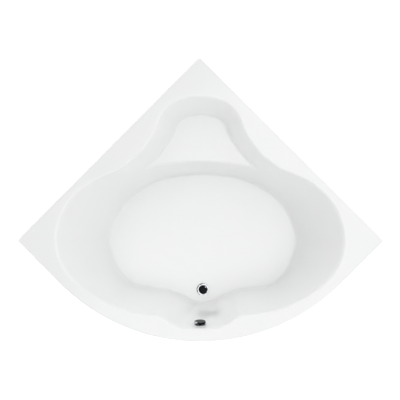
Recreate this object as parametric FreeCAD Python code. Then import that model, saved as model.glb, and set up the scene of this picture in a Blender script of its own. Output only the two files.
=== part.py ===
import FreeCAD, Part

import math
import os

from FreeCAD import Vector

# Corner bathtub, in millimetres. +Z is up and the floor is z = 0. The two wall sides meet at the
# back corner on +Y, the bow front faces -Y, and the tub is symmetric about the YZ plane.

# Rim outline: two wall sides at right angles, a short square return at each tip, and a bow front.
leg_length = 1400.0
return_length = 326.0
corner_radius = 12.0
rim_height = 580.0
rim_wall = 5.0
rim_edge_radius = 4.0
lip_depth = 38.0

# Basin, measured from the line where it is widest. The ledges are the flat rim left beside it.
side_ledge = 51.3
front_ledge = 68.0
basin_back_share = 0.6186
basin_front_share = 0.6211
floor_height = 160.0
end_slope = 235.0
back_slope = 118.0
front_slope = 113.0
floor_fillet = 25.0
shell_wall = 8.0
edge_roll_depth = 12.0
edge_roll_run = 8.0

# Bell-shaped bay with the moulded corner seat.
bay_width_share = 0.5116
corner_ledge = 214.0
bay_side_slope = 85.0
bay_back_slope = 81.0
seat_depth = 190.0
seat_fillet = 20.0

# Boards and battens bonded under the shell.
board_thickness = 18.0
board_inset = 30.0
board_waste_clearance = 62.0
board_screw_share = 0.8
seat_board_thickness = 15.0
seat_board_width = 240.0
seat_board_length = 150.0
batten_thickness = 22.0
batten_height = 45.0
batten_wall_gap = 8.0
batten_end_gap = 62.0

# Bow panel behind the rim lip.
panel_inset = 9.0
panel_thickness = 5.0
panel_floor_gap = 10.0
panel_top_gap = 3.0
panel_foot_width = 12.0
panel_wall_gap = 12.0
seating_gap = 0.2

# Steel cradle of hat-shaped channels with screw feet.
cradle_front_offset = -180.0
cradle_back_offset = 200.0
cradle_half_length = 400.0
cradle_height = 20.0
cradle_web = 50.0
cradle_flange = 18.0
cradle_wall = 2.0
foot_spread = 340.0
foot_rod_radius = 5.0
foot_rod_top_gap = 2.0
foot_pad_radius = 25.0
foot_pad_height = 16.0
foot_pad_base_share = 0.4
foot_pad_top_share = 0.5
foot_socket_depth = 10.0
foot_nut_width = 17.0
foot_nut_height = 8.0
running_clearance = 0.1

# Post under the seat.
post_radius = 15.0
post_wall = 3.0
post_plate = 80.0
post_plate_thickness = 4.0
post_screw_share = 0.38
post_foot_gap = 110.0
post_seat_share = 0.81
bush_collar = 10.0
bush_length = 30.0

# Stays from the front channel to the bow panel.
stay_foot_gap = 69.0
stay_overlap = 5.0
stay_width = 25.0
stay_thickness = 4.0
stay_tab = 45.0

# Wall brackets under the wall battens.
bracket_width = 40.0
bracket_thickness = 3.0
bracket_drop = 50.0
bracket_wall_gap = 2.0
bracket_hole_radius = 3.5
bracket_hole_share = 0.6
bracket_shares = (0.18, 0.82)

# Screws.
screw_radius = 2.0
screw_head_radius = 4.5
screw_head_height = 2.0
screw_length = 14.0
screw_tip_gap = 1.0
cap_radius = 7.0
cap_height = 2.5

# Waste in the floor.
waste_edge_gap = 76.0
waste_hole_radius = 26.0
waste_flange_radius = 35.0
waste_flange_height = 3.0
waste_flange_chamfer = 1.2
waste_bore = 20.0
waste_tail_radius = 25.0
waste_tail_length = 43.0
waste_seal_height = 1.5
seal_edge_gap = 1.0
waste_gasket_height = 3.0
waste_body_wall = 3.0
waste_body_flange = 38.0
waste_body_base = 4.0
waste_body_depth = 68.0
waste_outlet_radius = 20.0
waste_outlet_length = 18.0
plug_radius = 24.0
plug_height = 4.0
plug_edge_radius = 1.5
plug_recess_gap = 0.6
plug_stem_radius = 3.0
plug_tip_radius = 1.5
plug_tip_length = 14.0
stem_seat = 3.0
plug_neck_radius = 17.0
plug_neck_length = 3.5
plug_seal_gap = 0.4
plug_seal_height = 2.5
plug_seat_gap = 0.8
spider_height = 6.0
spider_depth = 20.0
spider_wall = 3.0
spider_turns = (90, 210, 330)

# Rocker that lifts the plug.
lever_arm = 18.0
lever_width = 5.0
lever_thickness = 4.0
lever_tip = 1.0
lever_drop = 14.0
lever_gap = 0.3
lever_pin_radius = 2.0
lever_pin_length = 39.0
lever_depth = 48.0

# Overflow in the front bay.
overflow_depth = 75.0
overflow_pad_radius = 42.0
overflow_pad_sink = 0.8
overflow_pad_edge = 2.0
overflow_hole_radius = 26.0
overflow_neck_radius = 24.0
overflow_flange_radius = 38.0
overflow_flange_height = 4.0
overflow_seal_height = 3.0
overflow_barrel_radius = 28.0
overflow_barrel_length = 35.0
overflow_wall = 3.0
overflow_plate_radius = 33.0
overflow_plate_height = 3.0
overflow_arm_width = 4.0
knob_radius = 31.0
knob_height = 11.0
knob_standoff = 8.0
knob_edge_radius = 3.0
knob_hub_wall = 4.0
spindle_radius = 4.0
spindle_length = 46.0
cam_radius = 12.0
cam_height = 4.0

# Overflow pipe and lifting cable.
pipe_radius = 14.0
pipe_wall = 2.0
pipe_bend = 60.0
pipe_engagement = 22.0
socket_wall = 4.0
socket_length = 56.0
nut_wall = 5.0
nut_length = 20.0
nut_lip = 4.0
pipe_depth = 45.0
cable_radius = 2.5
cable_nut_gap = 0.5
cable_engagement = 8.0
gland_radius = 5.0
gland_length = 12.0
clip_height = 10.0
clip_wall = 3.0
gland_share = 0.6
cable_lead = 75.0
cable_sway = 60.0
cable_dip = 12.0
cable_loop = 120.0
cable_run = 78.0

# Trap.
trap_wall = 2.0
trap_bend = 30.0
trap_inlet_run = 8.0
trap_elbow_bend = 24.0
trap_outlet_run = 70.0
trap_heading = 45.0
trap_socket_wall = 5.0
trap_socket_gap = 0.3
trap_seat = 4.0
trap_nut_lip = 3.0
cleanout_wall = 3.0
trap_nut_wall = 5.0
trap_nut_height = 12.0
cleanout_radius = 16.0
cleanout_reach = 32.0
cleanout_cap_height = 9.0

# Places that follow from the sizes above.
bow_radius = leg_length - return_length
corner_cut = corner_radius * (math.sqrt(2) - 1)
corner_y = (return_length * math.sqrt(2) + bow_radius + corner_cut) / 2
bow_centre = Vector(0, corner_y - return_length * math.sqrt(2), 0)
front_y = bow_centre.y - bow_radius
floor_z = floor_height
basin_depth = rim_height - floor_height
seat_z = rim_height - seat_depth
board_top = floor_z - shell_wall
board_bottom = board_top - board_thickness
cradle_bottom = board_bottom - cradle_height
rim_underside = rim_height - rim_wall
batten_bottom = rim_underside - batten_height
behind_panel = panel_inset + panel_thickness + seating_gap
cable_offset = pipe_radius + socket_wall + nut_wall + cable_radius + cable_nut_gap
right_wall = Vector(1, -1, 0).normalize()
left_wall = Vector(-1, -1, 0).normalize()
up = Vector(0, 0, 1)

# Half outlines, from the middle of the back round the right to the middle of the front. Each point
# is a share of the half width and a share of the back (positive) or front (negative) reach.
rim_shape = [
    (0.00, 1.00), (0.21, 0.99), (0.40, 0.94), (0.51, 0.84), (0.63, 0.75), (0.77, 0.64), (0.91, 0.43),
    (0.98, 0.20), (1.00, 0.00), (0.98, -0.20), (0.93, -0.36), (0.84, -0.52), (0.70, -0.67),
    (0.54, -0.78), (0.39, -0.83), (0.28, -0.85), (0.20, -0.93), (0.11, -0.99), (0.00, -1.00),
]
floor_shape = [
    (0.00, 1.00), (0.20, 0.98), (0.40, 0.93), (0.54, 0.85), (0.66, 0.75), (0.79, 0.61), (0.91, 0.37),
    (0.98, 0.12), (1.00, -0.07), (0.97, -0.24), (0.91, -0.45), (0.79, -0.66), (0.66, -0.75),
    (0.51, -0.78), (0.38, -0.80), (0.28, -0.85), (0.18, -0.91), (0.10, -0.98), (0.00, -1.00),
]
bay_shape = [
    (0.00, 1.00), (0.31, 0.97), (0.51, 0.88), (0.62, 0.75), (0.78, 0.63), (0.94, 0.54), (1.00, 0.47),
    (0.83, 0.39), (0.00, 0.38),
]
seat_shape = [
    (0.00, 1.00), (0.37, 0.95), (0.48, 0.87), (0.56, 0.79), (0.75, 0.67), (0.93, 0.58), (1.00, 0.51),
    (0.83, 0.43), (0.00, 0.42),
]

# The basin grows until its outline leaves the side ledge along the walls and the front ledge.
plan_room = corner_y - side_ledge * math.sqrt(2) - front_y - front_ledge
basin_half_width = plan_room / (max(x + y * basin_back_share for x, y in rim_shape) + basin_front_share)
basin_back = basin_half_width * basin_back_share
basin_front = basin_half_width * basin_front_share
basin_y = front_y + front_ledge + basin_front
floor_half_width = basin_half_width - end_slope
floor_back = basin_back - back_slope
floor_front = basin_front - front_slope
bay_half_width = basin_half_width * bay_width_share
bay_back = corner_y - basin_y - corner_ledge
seat_half_width = bay_half_width - bay_side_slope
seat_back = bay_back - bay_back_slope
waste_y = basin_y - floor_front + waste_edge_gap
bracket_places = [share * leg_length for share in bracket_shares]


# ---- Basic solids ----

def rod(radius, length, base, axis=up):
    return Part.makeCylinder(radius, length, base, axis)


def ring(outer, inner, length, base, axis=up):
    return rod(outer, length, base, axis).cut(rod(inner, length, base, axis))


def block(low, high):
    size = high - low
    return Part.makeBox(size.x, size.y, size.z, low)


def hex_nut(width, height, bore, base):
    corner = width / math.sqrt(3)
    corners = [Vector(corner * math.cos(math.radians(60 * i)), corner * math.sin(math.radians(60 * i)), 0)
               for i in range(7)]
    body = Part.Face(Part.makePolygon(corners)).extrude(Vector(0, 0, height))
    body.translate(base)
    return body.cut(rod(bore, height, base))


def screw(head_base, direction):
    """A pan-head screw: its head stands on head_base and its shank runs on along direction."""
    head = rod(screw_head_radius, screw_head_height, head_base - direction * screw_head_height, direction)
    shank = rod(screw_radius, screw_length, head_base, direction)
    return head.fuse(shank).removeSplitter()


def screw_hole(head_base, direction):
    return rod(screw_radius + running_clearance, screw_length + screw_tip_gap, head_base, direction)


def joined(first, *others):
    return first.multiFuse(list(others)).removeSplitter()


def without(body, cutters):
    for cutter in cutters:
        body = body.cut(cutter)
    return body


# ---- Curves and lofts ----

def closed_half(shape, half_width, back, front):
    """Mirrors a half outline into a closed clockwise list of points."""
    right = [Vector(x * half_width, basin_y + y * (back if y > 0 else front), 0) for x, y in shape]
    left = [Vector(-point.x, point.y, 0) for point in reversed(right[1:-1])]
    return right + left


def pushed(points, distance):
    """Moves each point of a clockwise outline outwards by distance."""
    moved = []
    for index, point in enumerate(points):
        along = points[(index + 1) % len(points)] - points[index - 1]
        outward = Vector(-along.y, along.x, 0).normalize()
        moved.append(point + outward * distance)
    return moved


def blended(low, high, share):
    return [a + (b - a) * share for a, b in zip(low, high)]


def smooth_wire(points, z):
    curve = Part.BSplineCurve()
    level = [Vector(point.x, point.y, z) for point in points]
    curve.interpolate(Points=level, PeriodicFlag=True, Parameters=list(range(len(level) + 1)))
    return Part.Wire([curve.toShape()])


def bowl(low, high, bottom, depth, fillet, grow):
    """A tapering bowl with a coved foot and a rolled top edge, grown outwards by grow."""
    foot = (fillet - grow * 0.4) / depth
    neck = (depth - edge_roll_depth - grow * 0.6) / depth
    sections = [
        (pushed(low, grow * 0.4 - fillet), bottom - grow),
        (pushed(blended(low, high, foot), grow), bottom + foot * depth),
        (pushed(blended(low, high, neck), grow), bottom + neck * depth),
    ]
    brim = pushed(high, grow + edge_roll_run)
    if grow:
        sections.append((brim, rim_height - rim_wall / 2))
    else:
        sections.append((brim, rim_height))
        sections.append((brim, rim_height + rim_wall))
    return Part.makeLoft([smooth_wire(points, z) for points, z in sections], True, True)


def bent_path(points, radii):
    """Straight runs through the points, joined by tangent arcs of the given radii."""
    edges = []
    start = points[0]
    for before, corner, after, radius in zip(points, points[1:], points[2:], radii):
        into = (corner - before).normalize()
        out = (after - corner).normalize()
        half_turn = into.getAngle(out) / 2
        reach = radius * math.tan(half_turn)
        middle = corner + (out - into).normalize() * (radius / math.cos(half_turn) - radius)
        edges.append(Part.LineSegment(start, corner - into * reach).toShape())
        edges.append(Part.Arc(corner - into * reach, middle, corner + out * reach).toShape())
        start = corner + out * reach
    edges.append(Part.LineSegment(start, points[-1]).toShape())
    return Part.Wire(edges)


def bent_rod(points, radii, radius):
    path = bent_path(points, radii)
    section = Part.Wire([Part.makeCircle(radius, points[0], points[1] - points[0])])
    return path.makePipeShell([section], True, False)


# ---- Rim outline ----

def rim_corner(inset):
    return Vector(0, corner_y - inset * math.sqrt(2), 0)


def rim_prism(inset, low, high):
    """The whole rim outline, moved inwards by inset, as an upright prism."""
    corner = rim_corner(inset)
    radius = max(corner_radius - inset, 1.0)
    wall_run = leg_length - 2 * inset
    right_tip = corner + right_wall * wall_run
    left_tip = corner + left_wall * wall_run
    right_bow = bow_centre + right_wall * (bow_radius - inset)
    left_bow = bow_centre + left_wall * (bow_radius - inset)
    bow_middle = bow_centre - Vector(0, bow_radius - inset, 0)
    turns = [(left_tip, corner, right_tip), (corner, right_tip, right_bow), (left_bow, left_tip, corner)]
    arcs = []
    for before, point, after in turns:
        into = (point - before).normalize()
        out = (after - point).normalize()
        centre = point - into * radius + out * radius
        middle = centre + (point - centre).normalize() * radius
        arcs.append((point - into * radius, middle, point + out * radius))
    top, right, left = arcs
    edges = [
        Part.Arc(*top).toShape(),
        Part.LineSegment(top[2], right[0]).toShape(),
        Part.Arc(*right).toShape(),
        Part.LineSegment(right[2], right_bow).toShape(),
        Part.Arc(right_bow, bow_middle, left_bow).toShape(),
        Part.LineSegment(left_bow, left[0]).toShape(),
        Part.Arc(*left).toShape(),
        Part.LineSegment(left[2], top[0]).toShape(),
    ]
    face = Part.Face(Part.Wire(edges))
    face.translate(Vector(0, 0, low))
    return face.extrude(Vector(0, 0, high - low))


def bow_strip(outer_inset, thickness, wall_gap, low, high):
    """A strip that follows the bow front and both returns, at a given inset from the rim."""
    inner_inset = outer_inset + thickness
    run = return_length - wall_gap
    ends = []
    for inset in (outer_inset, inner_inset):
        radius = bow_radius - inset
        right = bow_centre + right_wall * radius
        left = bow_centre + left_wall * radius
        middle = bow_centre - Vector(0, radius, 0)
        ends.append((right - left_wall * run, right, middle, left, left - right_wall * run))
    outer, inner = ends
    edges = [
        Part.LineSegment(outer[0], outer[1]).toShape(),
        Part.Arc(outer[1], outer[2], outer[3]).toShape(),
        Part.LineSegment(outer[3], outer[4]).toShape(),
        Part.LineSegment(outer[4], inner[4]).toShape(),
        Part.LineSegment(inner[4], inner[3]).toShape(),
        Part.Arc(inner[3], inner[2], inner[1]).toShape(),
        Part.LineSegment(inner[1], inner[0]).toShape(),
        Part.LineSegment(inner[0], outer[0]).toShape(),
    ]
    face = Part.Face(Part.Wire(edges))
    face.translate(Vector(0, 0, low))
    return face.extrude(Vector(0, 0, high - low))


# ---- Overflow line: distances along the inward normal of the front wall ----

wall_tilt = math.atan((basin_front - floor_front) / basin_depth)
overflow_axis = Vector(0, math.cos(wall_tilt), math.sin(wall_tilt))
overflow_z = rim_height - overflow_depth
overflow_wall_y = basin_y - basin_front + (basin_front - floor_front) * overflow_depth / basin_depth
overflow_face = Vector(0, overflow_wall_y, overflow_z) - overflow_axis * overflow_pad_sink
overflow_back = -(shell_wall + overflow_seal_height)
barrel_middle = overflow_back - overflow_flange_height - overflow_barrel_length / 2


def on_overflow(distance):
    return overflow_face + overflow_axis * distance


# ---- Shell ----

basin_rim = closed_half(rim_shape, basin_half_width, basin_back, basin_front)
basin_floor = closed_half(floor_shape, floor_half_width, floor_back, floor_front)
bay_rim = closed_half(bay_shape, bay_half_width, bay_back, bay_back)
bay_floor = closed_half(seat_shape, seat_half_width, seat_back, seat_back)


def tub_shell():
    tray = rim_prism(0, rim_height - lip_depth, rim_height)
    top_edges = [edge for edge in tray.Edges if edge.BoundBox.ZMin > rim_height - 0.01]
    tray = tray.makeFillet(rim_edge_radius, top_edges)
    tray = tray.cut(rim_prism(rim_wall, rim_height - lip_depth, rim_underside))
    basin = bowl(basin_floor, basin_rim, floor_z, basin_depth, floor_fillet, shell_wall)
    bay = bowl(bay_floor, bay_rim, seat_z, seat_depth, seat_fillet, shell_wall)
    pad = rod(overflow_pad_radius, shell_wall, on_overflow(-shell_wall), overflow_axis)
    body = joined(tray, basin, bay, pad)
    body = without(body, [
        bowl(basin_floor, basin_rim, floor_z, basin_depth, floor_fillet, 0),
        bowl(bay_floor, bay_rim, seat_z, seat_depth, seat_fillet, 0),
        rod(overflow_pad_radius - overflow_pad_edge, shell_wall, on_overflow(0), overflow_axis),
        rod(overflow_hole_radius, 3 * shell_wall, on_overflow(-2 * shell_wall), overflow_axis),
        rod(waste_hole_radius, 3 * shell_wall, Vector(0, waste_y, floor_z - 2 * shell_wall)),
    ])
    return body.removeSplitter()


# ---- Boards and battens ----

cradle_rows = (basin_y + cradle_front_offset, basin_y + cradle_back_offset)
cradle_screw_points = [Vector(step * board_screw_share * cradle_half_length,
                              y + side * (cradle_web + cradle_flange) / 2, board_bottom - cradle_wall)
                       for y in cradle_rows for side in (-1, 1) for step in (-1, 0, 1)]
post_y = basin_y + post_seat_share * seat_back
seat_board_top = seat_z - shell_wall
seat_board_bottom = seat_board_top - seat_board_thickness
post_screw_reach = post_screw_share * post_plate
post_screw_points = [Vector(x * post_screw_reach, post_y + y * post_screw_reach,
                            seat_board_bottom - post_plate_thickness)
                     for x in (-1, 1) for y in (-1, 1)]


def base_board():
    outline = smooth_wire(pushed(basin_floor, -board_inset), board_bottom)
    board = Part.Face(outline).extrude(Vector(0, 0, board_thickness))
    front = waste_y + board_waste_clearance
    keep = block(Vector(-leg_length, front, 0), Vector(leg_length, corner_y, rim_height))
    return without(board.common(keep), [screw_hole(point, up) for point in cradle_screw_points])


def seat_board():
    half = Vector(seat_board_width / 2, seat_board_length / 2, 0)
    centre = Vector(0, post_y, 0)
    board = block(centre - half + up * seat_board_bottom, centre + half + up * seat_board_top)
    return without(board, [screw_hole(point, up) for point in post_screw_points])


def along_wall(wall, distance, inset, z):
    """A point at a distance from the back corner along one wall side, at an inset from it."""
    inward = left_wall if wall is right_wall else right_wall
    return rim_corner(0) + wall * distance + inward * inset + up * z


def wall_box(wall, near, far, inset, thickness, low, high):
    inner = inset + thickness
    places = [(near, inset), (far, inset), (far, inner), (near, inner), (near, inset)]
    outline = Part.makePolygon([along_wall(wall, distance, depth, low) for distance, depth in places])
    return Part.Face(outline).extrude(Vector(0, 0, high - low))


def bracket_screw_points(wall, place):
    middle = batten_wall_gap + batten_thickness / 2
    return [along_wall(wall, place + side * bracket_width / 4, middle, batten_bottom - bracket_thickness)
            for side in (-1, 1)]


def rim_batten(wall):
    far = leg_length - batten_end_gap
    batten = wall_box(wall, batten_end_gap, far, batten_wall_gap, batten_thickness,
                      batten_bottom, rim_underside)
    points = [point for place in bracket_places for point in bracket_screw_points(wall, place)]
    return without(batten, [screw_hole(point, up) for point in points])


def bow_batten():
    return bow_strip(behind_panel, batten_thickness, batten_end_gap, batten_bottom, rim_underside)


# ---- Bow panel and its stays ----

stay_top = cradle_bottom
stay_end_x = foot_spread - stay_foot_gap
stay_end_drop = bow_centre.y - cradle_rows[0]
stay_angle = math.degrees(math.atan2(stay_end_x, stay_end_drop))
stay_reach = bow_radius - behind_panel - math.hypot(stay_end_x, stay_end_drop) + stay_overlap


def turned_stay(body, side):
    turned = body.copy()
    turned.rotate(bow_centre, up, side * stay_angle)
    return turned


def panel_screw_axis(side):
    """The outward direction and the point on the panel's outside for a stay's screw."""
    angle = math.radians(side * stay_angle)
    outward = Vector(math.sin(angle), -math.cos(angle), 0)
    point = bow_centre + outward * (bow_radius - panel_inset) + up * (stay_top - stay_tab / 2)
    return outward, point


def bow_panel():
    top = rim_underside - panel_top_gap
    sheet = bow_strip(panel_inset, panel_thickness, panel_wall_gap, panel_floor_gap, top)
    foot = bow_strip(panel_inset, panel_foot_width, panel_wall_gap, panel_floor_gap,
                     panel_floor_gap + panel_thickness)
    panel = joined(sheet, foot)
    for side in (-1, 1):
        outward, point = panel_screw_axis(side)
        panel = panel.cut(screw_hole(point, outward * -1))
    return panel


def panel_stay(side):
    face = front_y + behind_panel
    half = stay_width / 2
    bar = block(Vector(-half, face, stay_top - stay_thickness), Vector(half, face + stay_reach, stay_top))
    tab = block(Vector(-half, face, stay_top - stay_tab), Vector(half, face + stay_thickness, stay_top))
    outward, point = panel_screw_axis(side)
    return turned_stay(joined(bar, tab), side).cut(screw_hole(point, outward * -1))


def panel_screws():
    screws = []
    for side in (-1, 1):
        outward, point = panel_screw_axis(side)
        screws.append(screw(point, outward * -1))
    return Part.makeCompound(screws)


def panel_screw_caps():
    caps = []
    for side in (-1, 1):
        outward, point = panel_screw_axis(side)
        base = point + outward * seating_gap
        recess = rod(screw_head_radius + running_clearance, screw_head_height, base, outward)
        caps.append(rod(cap_radius, cap_height + seating_gap, base, outward).cut(recess))
    return Part.makeCompound(caps)


# ---- Cradle and feet ----

foot_points = [Vector(x * foot_spread, y, 0) for y in cradle_rows for x in (-1, 1)]
foot_points.append(Vector(0, post_y, 0))
post_bottom = post_foot_gap + bush_collar
cradle_foot_top = board_bottom - foot_rod_top_gap
post_foot_top = post_foot_gap + bush_length + bush_collar


def cradle(row):
    y = cradle_rows[row]
    half = cradle_half_length
    web_half = cradle_web / 2
    outer = web_half + cradle_flange
    base = block(Vector(-half, y - web_half, cradle_bottom), Vector(half, y + web_half, board_bottom))
    brim = block(Vector(-half, y - outer, board_bottom - cradle_wall),
                 Vector(half, y + outer, board_bottom))
    trough = block(Vector(-half, y - web_half + cradle_wall, cradle_bottom + cradle_wall),
                   Vector(half, y + web_half - cradle_wall, board_bottom))
    channel = joined(base, brim).cut(trough)
    holes = [rod(foot_rod_radius + running_clearance, cradle_height, point + up * (cradle_bottom - 1))
             for point in foot_points if abs(point.y - y) < 1]
    holes += [rod(screw_radius + running_clearance, cradle_wall, point) for point in cradle_screw_points]
    return without(channel, holes)


def cradle_screws():
    return Part.makeCompound([screw(point, up) for point in cradle_screw_points])


def foot_rod(index):
    top = post_foot_top if index == len(foot_points) - 1 else cradle_foot_top
    bottom = foot_pad_height - foot_socket_depth
    return rod(foot_rod_radius, top - bottom, foot_points[index] + up * bottom)


def foot_pad(index):
    point = foot_points[index]
    base_height = foot_pad_height * foot_pad_base_share
    flare = Part.makeCone(foot_pad_radius, foot_pad_radius * foot_pad_top_share,
                          foot_pad_height - base_height, point + up * base_height)
    base = rod(foot_pad_radius, base_height, point)
    socket = rod(foot_rod_radius, foot_socket_depth, point + up * (foot_pad_height - foot_socket_depth))
    return joined(base, flare).cut(socket)


def foot_nuts():
    bore = foot_rod_radius + running_clearance
    nuts = []
    for point in foot_points[:-1]:
        for level in (cradle_bottom - foot_nut_height, cradle_bottom + cradle_wall):
            nuts.append(hex_nut(foot_nut_width, foot_nut_height, bore, point + up * level))
    return Part.makeCompound(nuts)


def seat_post():
    centre = Vector(0, post_y, 0)
    half = Vector(post_plate / 2, post_plate / 2, 0)
    plate_bottom = seat_board_bottom - post_plate_thickness
    plate = block(centre - half + up * plate_bottom, centre + half + up * seat_board_bottom)
    tube = rod(post_radius, plate_bottom - post_bottom, centre + up * post_bottom)
    bore = rod(post_radius - post_wall, plate_bottom - post_bottom, centre + up * post_bottom)
    holes = [rod(screw_radius + running_clearance, post_plate_thickness, point)
             for point in post_screw_points]
    return without(joined(plate, tube), [bore] + holes)


def seat_post_bush():
    base = Vector(0, post_y, post_foot_gap)
    collar = rod(post_radius, bush_collar, base)
    plug = rod(post_radius - post_wall, bush_length, base + up * bush_collar)
    bore = rod(foot_rod_radius + running_clearance, bush_collar + bush_length, base)
    return joined(collar, plug).cut(bore)


def seat_post_screws():
    return Part.makeCompound([screw(point, up) for point in post_screw_points])


# ---- Wall brackets ----

def wall_bracket(wall, place):
    near = place - bracket_width / 2
    far = place + bracket_width / 2
    reach = batten_wall_gap + batten_thickness - bracket_wall_gap
    top = batten_bottom
    plate = wall_box(wall, near, far, bracket_wall_gap, reach, top - bracket_thickness, top)
    ear = wall_box(wall, near, far, bracket_wall_gap, bracket_thickness, top - bracket_drop, top)
    inward = left_wall if wall is right_wall else right_wall
    hole_base = along_wall(wall, place, 0, top - bracket_drop * bracket_hole_share)
    holes = [rod(bracket_hole_radius, batten_wall_gap, hole_base, inward)]
    holes += [rod(screw_radius + running_clearance, bracket_thickness, point)
              for point in bracket_screw_points(wall, place)]
    return without(joined(plate, ear), holes)


def wall_bracket_screws():
    points = [point for wall in (left_wall, right_wall) for place in bracket_places
              for point in bracket_screw_points(wall, place)]
    return Part.makeCompound([screw(point, up) for point in points])


# ---- Waste ----

waste_top = floor_z + waste_seal_height
flange_top = waste_top + waste_flange_height
gasket_bottom = floor_z - shell_wall - waste_gasket_height
body_bottom = floor_z - shell_wall - waste_body_depth
body_inner = waste_tail_radius + running_clearance
body_outer = body_inner + waste_body_wall
lever_z = floor_z - lever_depth
stem_bottom = lever_z + lever_gap
inlet_z = floor_z - pipe_depth
outlet_bottom = body_bottom - waste_outlet_length


def at_waste(z, x=0, y=0):
    return Vector(x, waste_y + y, z)


def waste_spider(bore, outer, z):
    """A hub on three arms that guides a stem."""
    hub = rod(bore + spider_wall, spider_height, at_waste(z))
    arms = []
    for turn in spider_turns:
        arm = Part.makeBox(outer, spider_wall, spider_height, at_waste(z, 0, -spider_wall / 2))
        arm.rotate(at_waste(z), up, turn)
        arms.append(arm)
    return joined(hub, *arms).cut(rod(bore, spider_height, at_waste(z)))


def waste_flange():
    disc = rod(waste_flange_radius, waste_flange_height, at_waste(waste_top))
    top_edges = [edge for edge in disc.Edges if edge.BoundBox.ZMin > flange_top - 0.01]
    disc = disc.makeChamfer(waste_flange_chamfer, top_edges)
    tail = rod(waste_tail_radius, waste_tail_length, at_waste(waste_top - waste_tail_length))
    recess = rod(plug_radius + plug_recess_gap, waste_flange_height, at_waste(waste_top))
    bore = rod(waste_bore, waste_tail_length + waste_flange_height,
               at_waste(waste_top - waste_tail_length))
    shell = without(joined(disc, tail), [recess, bore])
    arm_reach = (waste_bore + waste_tail_radius) / 2
    spider = waste_spider(plug_stem_radius + running_clearance, arm_reach, waste_top - spider_depth)
    return joined(shell, spider)


def waste_seal():
    return ring(waste_flange_radius - seal_edge_gap, waste_hole_radius, waste_seal_height,
                at_waste(floor_z))


def waste_gasket():
    return ring(waste_body_flange - seal_edge_gap, waste_hole_radius, waste_gasket_height,
                at_waste(gasket_bottom))


def side_socket(axis):
    base = at_waste(inlet_z)
    outer = rod(pipe_radius + socket_wall, socket_length, base, axis)
    return outer, rod(pipe_radius + running_clearance, socket_length, base, axis)


def pin_start():
    return at_waste(lever_z - lever_thickness / 2, -lever_arm, -lever_pin_length / 2)


def waste_body():
    height = gasket_bottom - body_bottom
    barrel = rod(body_outer, height, at_waste(body_bottom))
    flange = rod(waste_body_flange, waste_body_base, at_waste(gasket_bottom - waste_body_base))
    outlet = rod(waste_outlet_radius, waste_outlet_length, at_waste(outlet_bottom))
    socket, socket_bore = side_socket(Vector(0, -1, 0))
    gland_z = lever_z - lever_drop
    gland_reach = body_outer + gland_length
    sideways = Vector(-1, 0, 0)
    gland = rod(gland_radius, gland_reach, at_waste(gland_z), sideways)
    gland_bore = rod(cable_radius + running_clearance, gland_reach, at_waste(gland_z), sideways)
    chamber = rod(body_inner, height - waste_body_base, at_waste(body_bottom + waste_body_base))
    outlet_bore = rod(waste_outlet_radius - waste_body_wall, waste_outlet_length + waste_body_base,
                      at_waste(outlet_bottom))
    pin_hole = rod(lever_pin_radius + running_clearance, lever_pin_length, pin_start(), Vector(0, 1, 0))
    solid = joined(barrel, flange, outlet, socket, gland)
    return without(solid, [chamber, outlet_bore, socket_bore, gland_bore, pin_hole])


def plug_cap():
    cap = rod(plug_radius, plug_height, at_waste(waste_top + plug_seat_gap))
    top_edges = [edge for edge in cap.Edges if edge.BoundBox.ZMin > cap.BoundBox.ZMax - 0.01]
    cap = cap.makeFillet(plug_edge_radius, top_edges)
    neck_base = at_waste(waste_top - plug_neck_length)
    neck = rod(plug_neck_radius, plug_neck_length + plug_seat_gap, neck_base)
    return joined(cap, neck).cut(rod(plug_stem_radius, stem_seat, neck_base))


def plug_seal():
    return ring(waste_bore - plug_seal_gap, plug_neck_radius, plug_seal_height,
                at_waste(waste_top - plug_neck_length))


def plug_stem():
    top = waste_top - plug_neck_length + stem_seat
    tip_top = stem_bottom + plug_tip_length
    tip = rod(plug_tip_radius, tip_top - stem_bottom, at_waste(stem_bottom))
    return joined(tip, rod(plug_stem_radius, top - tip_top, at_waste(tip_top)))


def lift_lever():
    half = lever_width / 2
    leg_half = lever_thickness / 2
    across = Vector(0, 1, 0)
    pivot = at_waste(lever_z - leg_half, -lever_arm, -half)
    arm = block(at_waste(lever_z - lever_thickness, -lever_arm, -half), at_waste(lever_z, lever_tip, half))
    leg = block(at_waste(lever_z - lever_drop - leg_half, -lever_arm - leg_half, -half),
                at_waste(lever_z, -lever_arm + leg_half, half))
    eye = rod(lever_thickness, lever_width, pivot, across)
    bore = rod(lever_pin_radius + running_clearance, lever_width, pivot, across)
    return joined(arm, leg, eye).cut(bore)


def lever_pin():
    return rod(lever_pin_radius, lever_pin_length, pin_start(), Vector(0, 1, 0))


# ---- Overflow ----

spout_point = on_overflow(barrel_middle)
spout_bottom = spout_point.z - overflow_barrel_radius - pipe_engagement
cable_top = spout_point.z - overflow_barrel_radius * gland_share - gland_length


def overflow_seal():
    base = on_overflow(-shell_wall - overflow_seal_height)
    return ring(overflow_flange_radius - seal_edge_gap, overflow_hole_radius, overflow_seal_height,
                base, overflow_axis)


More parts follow.
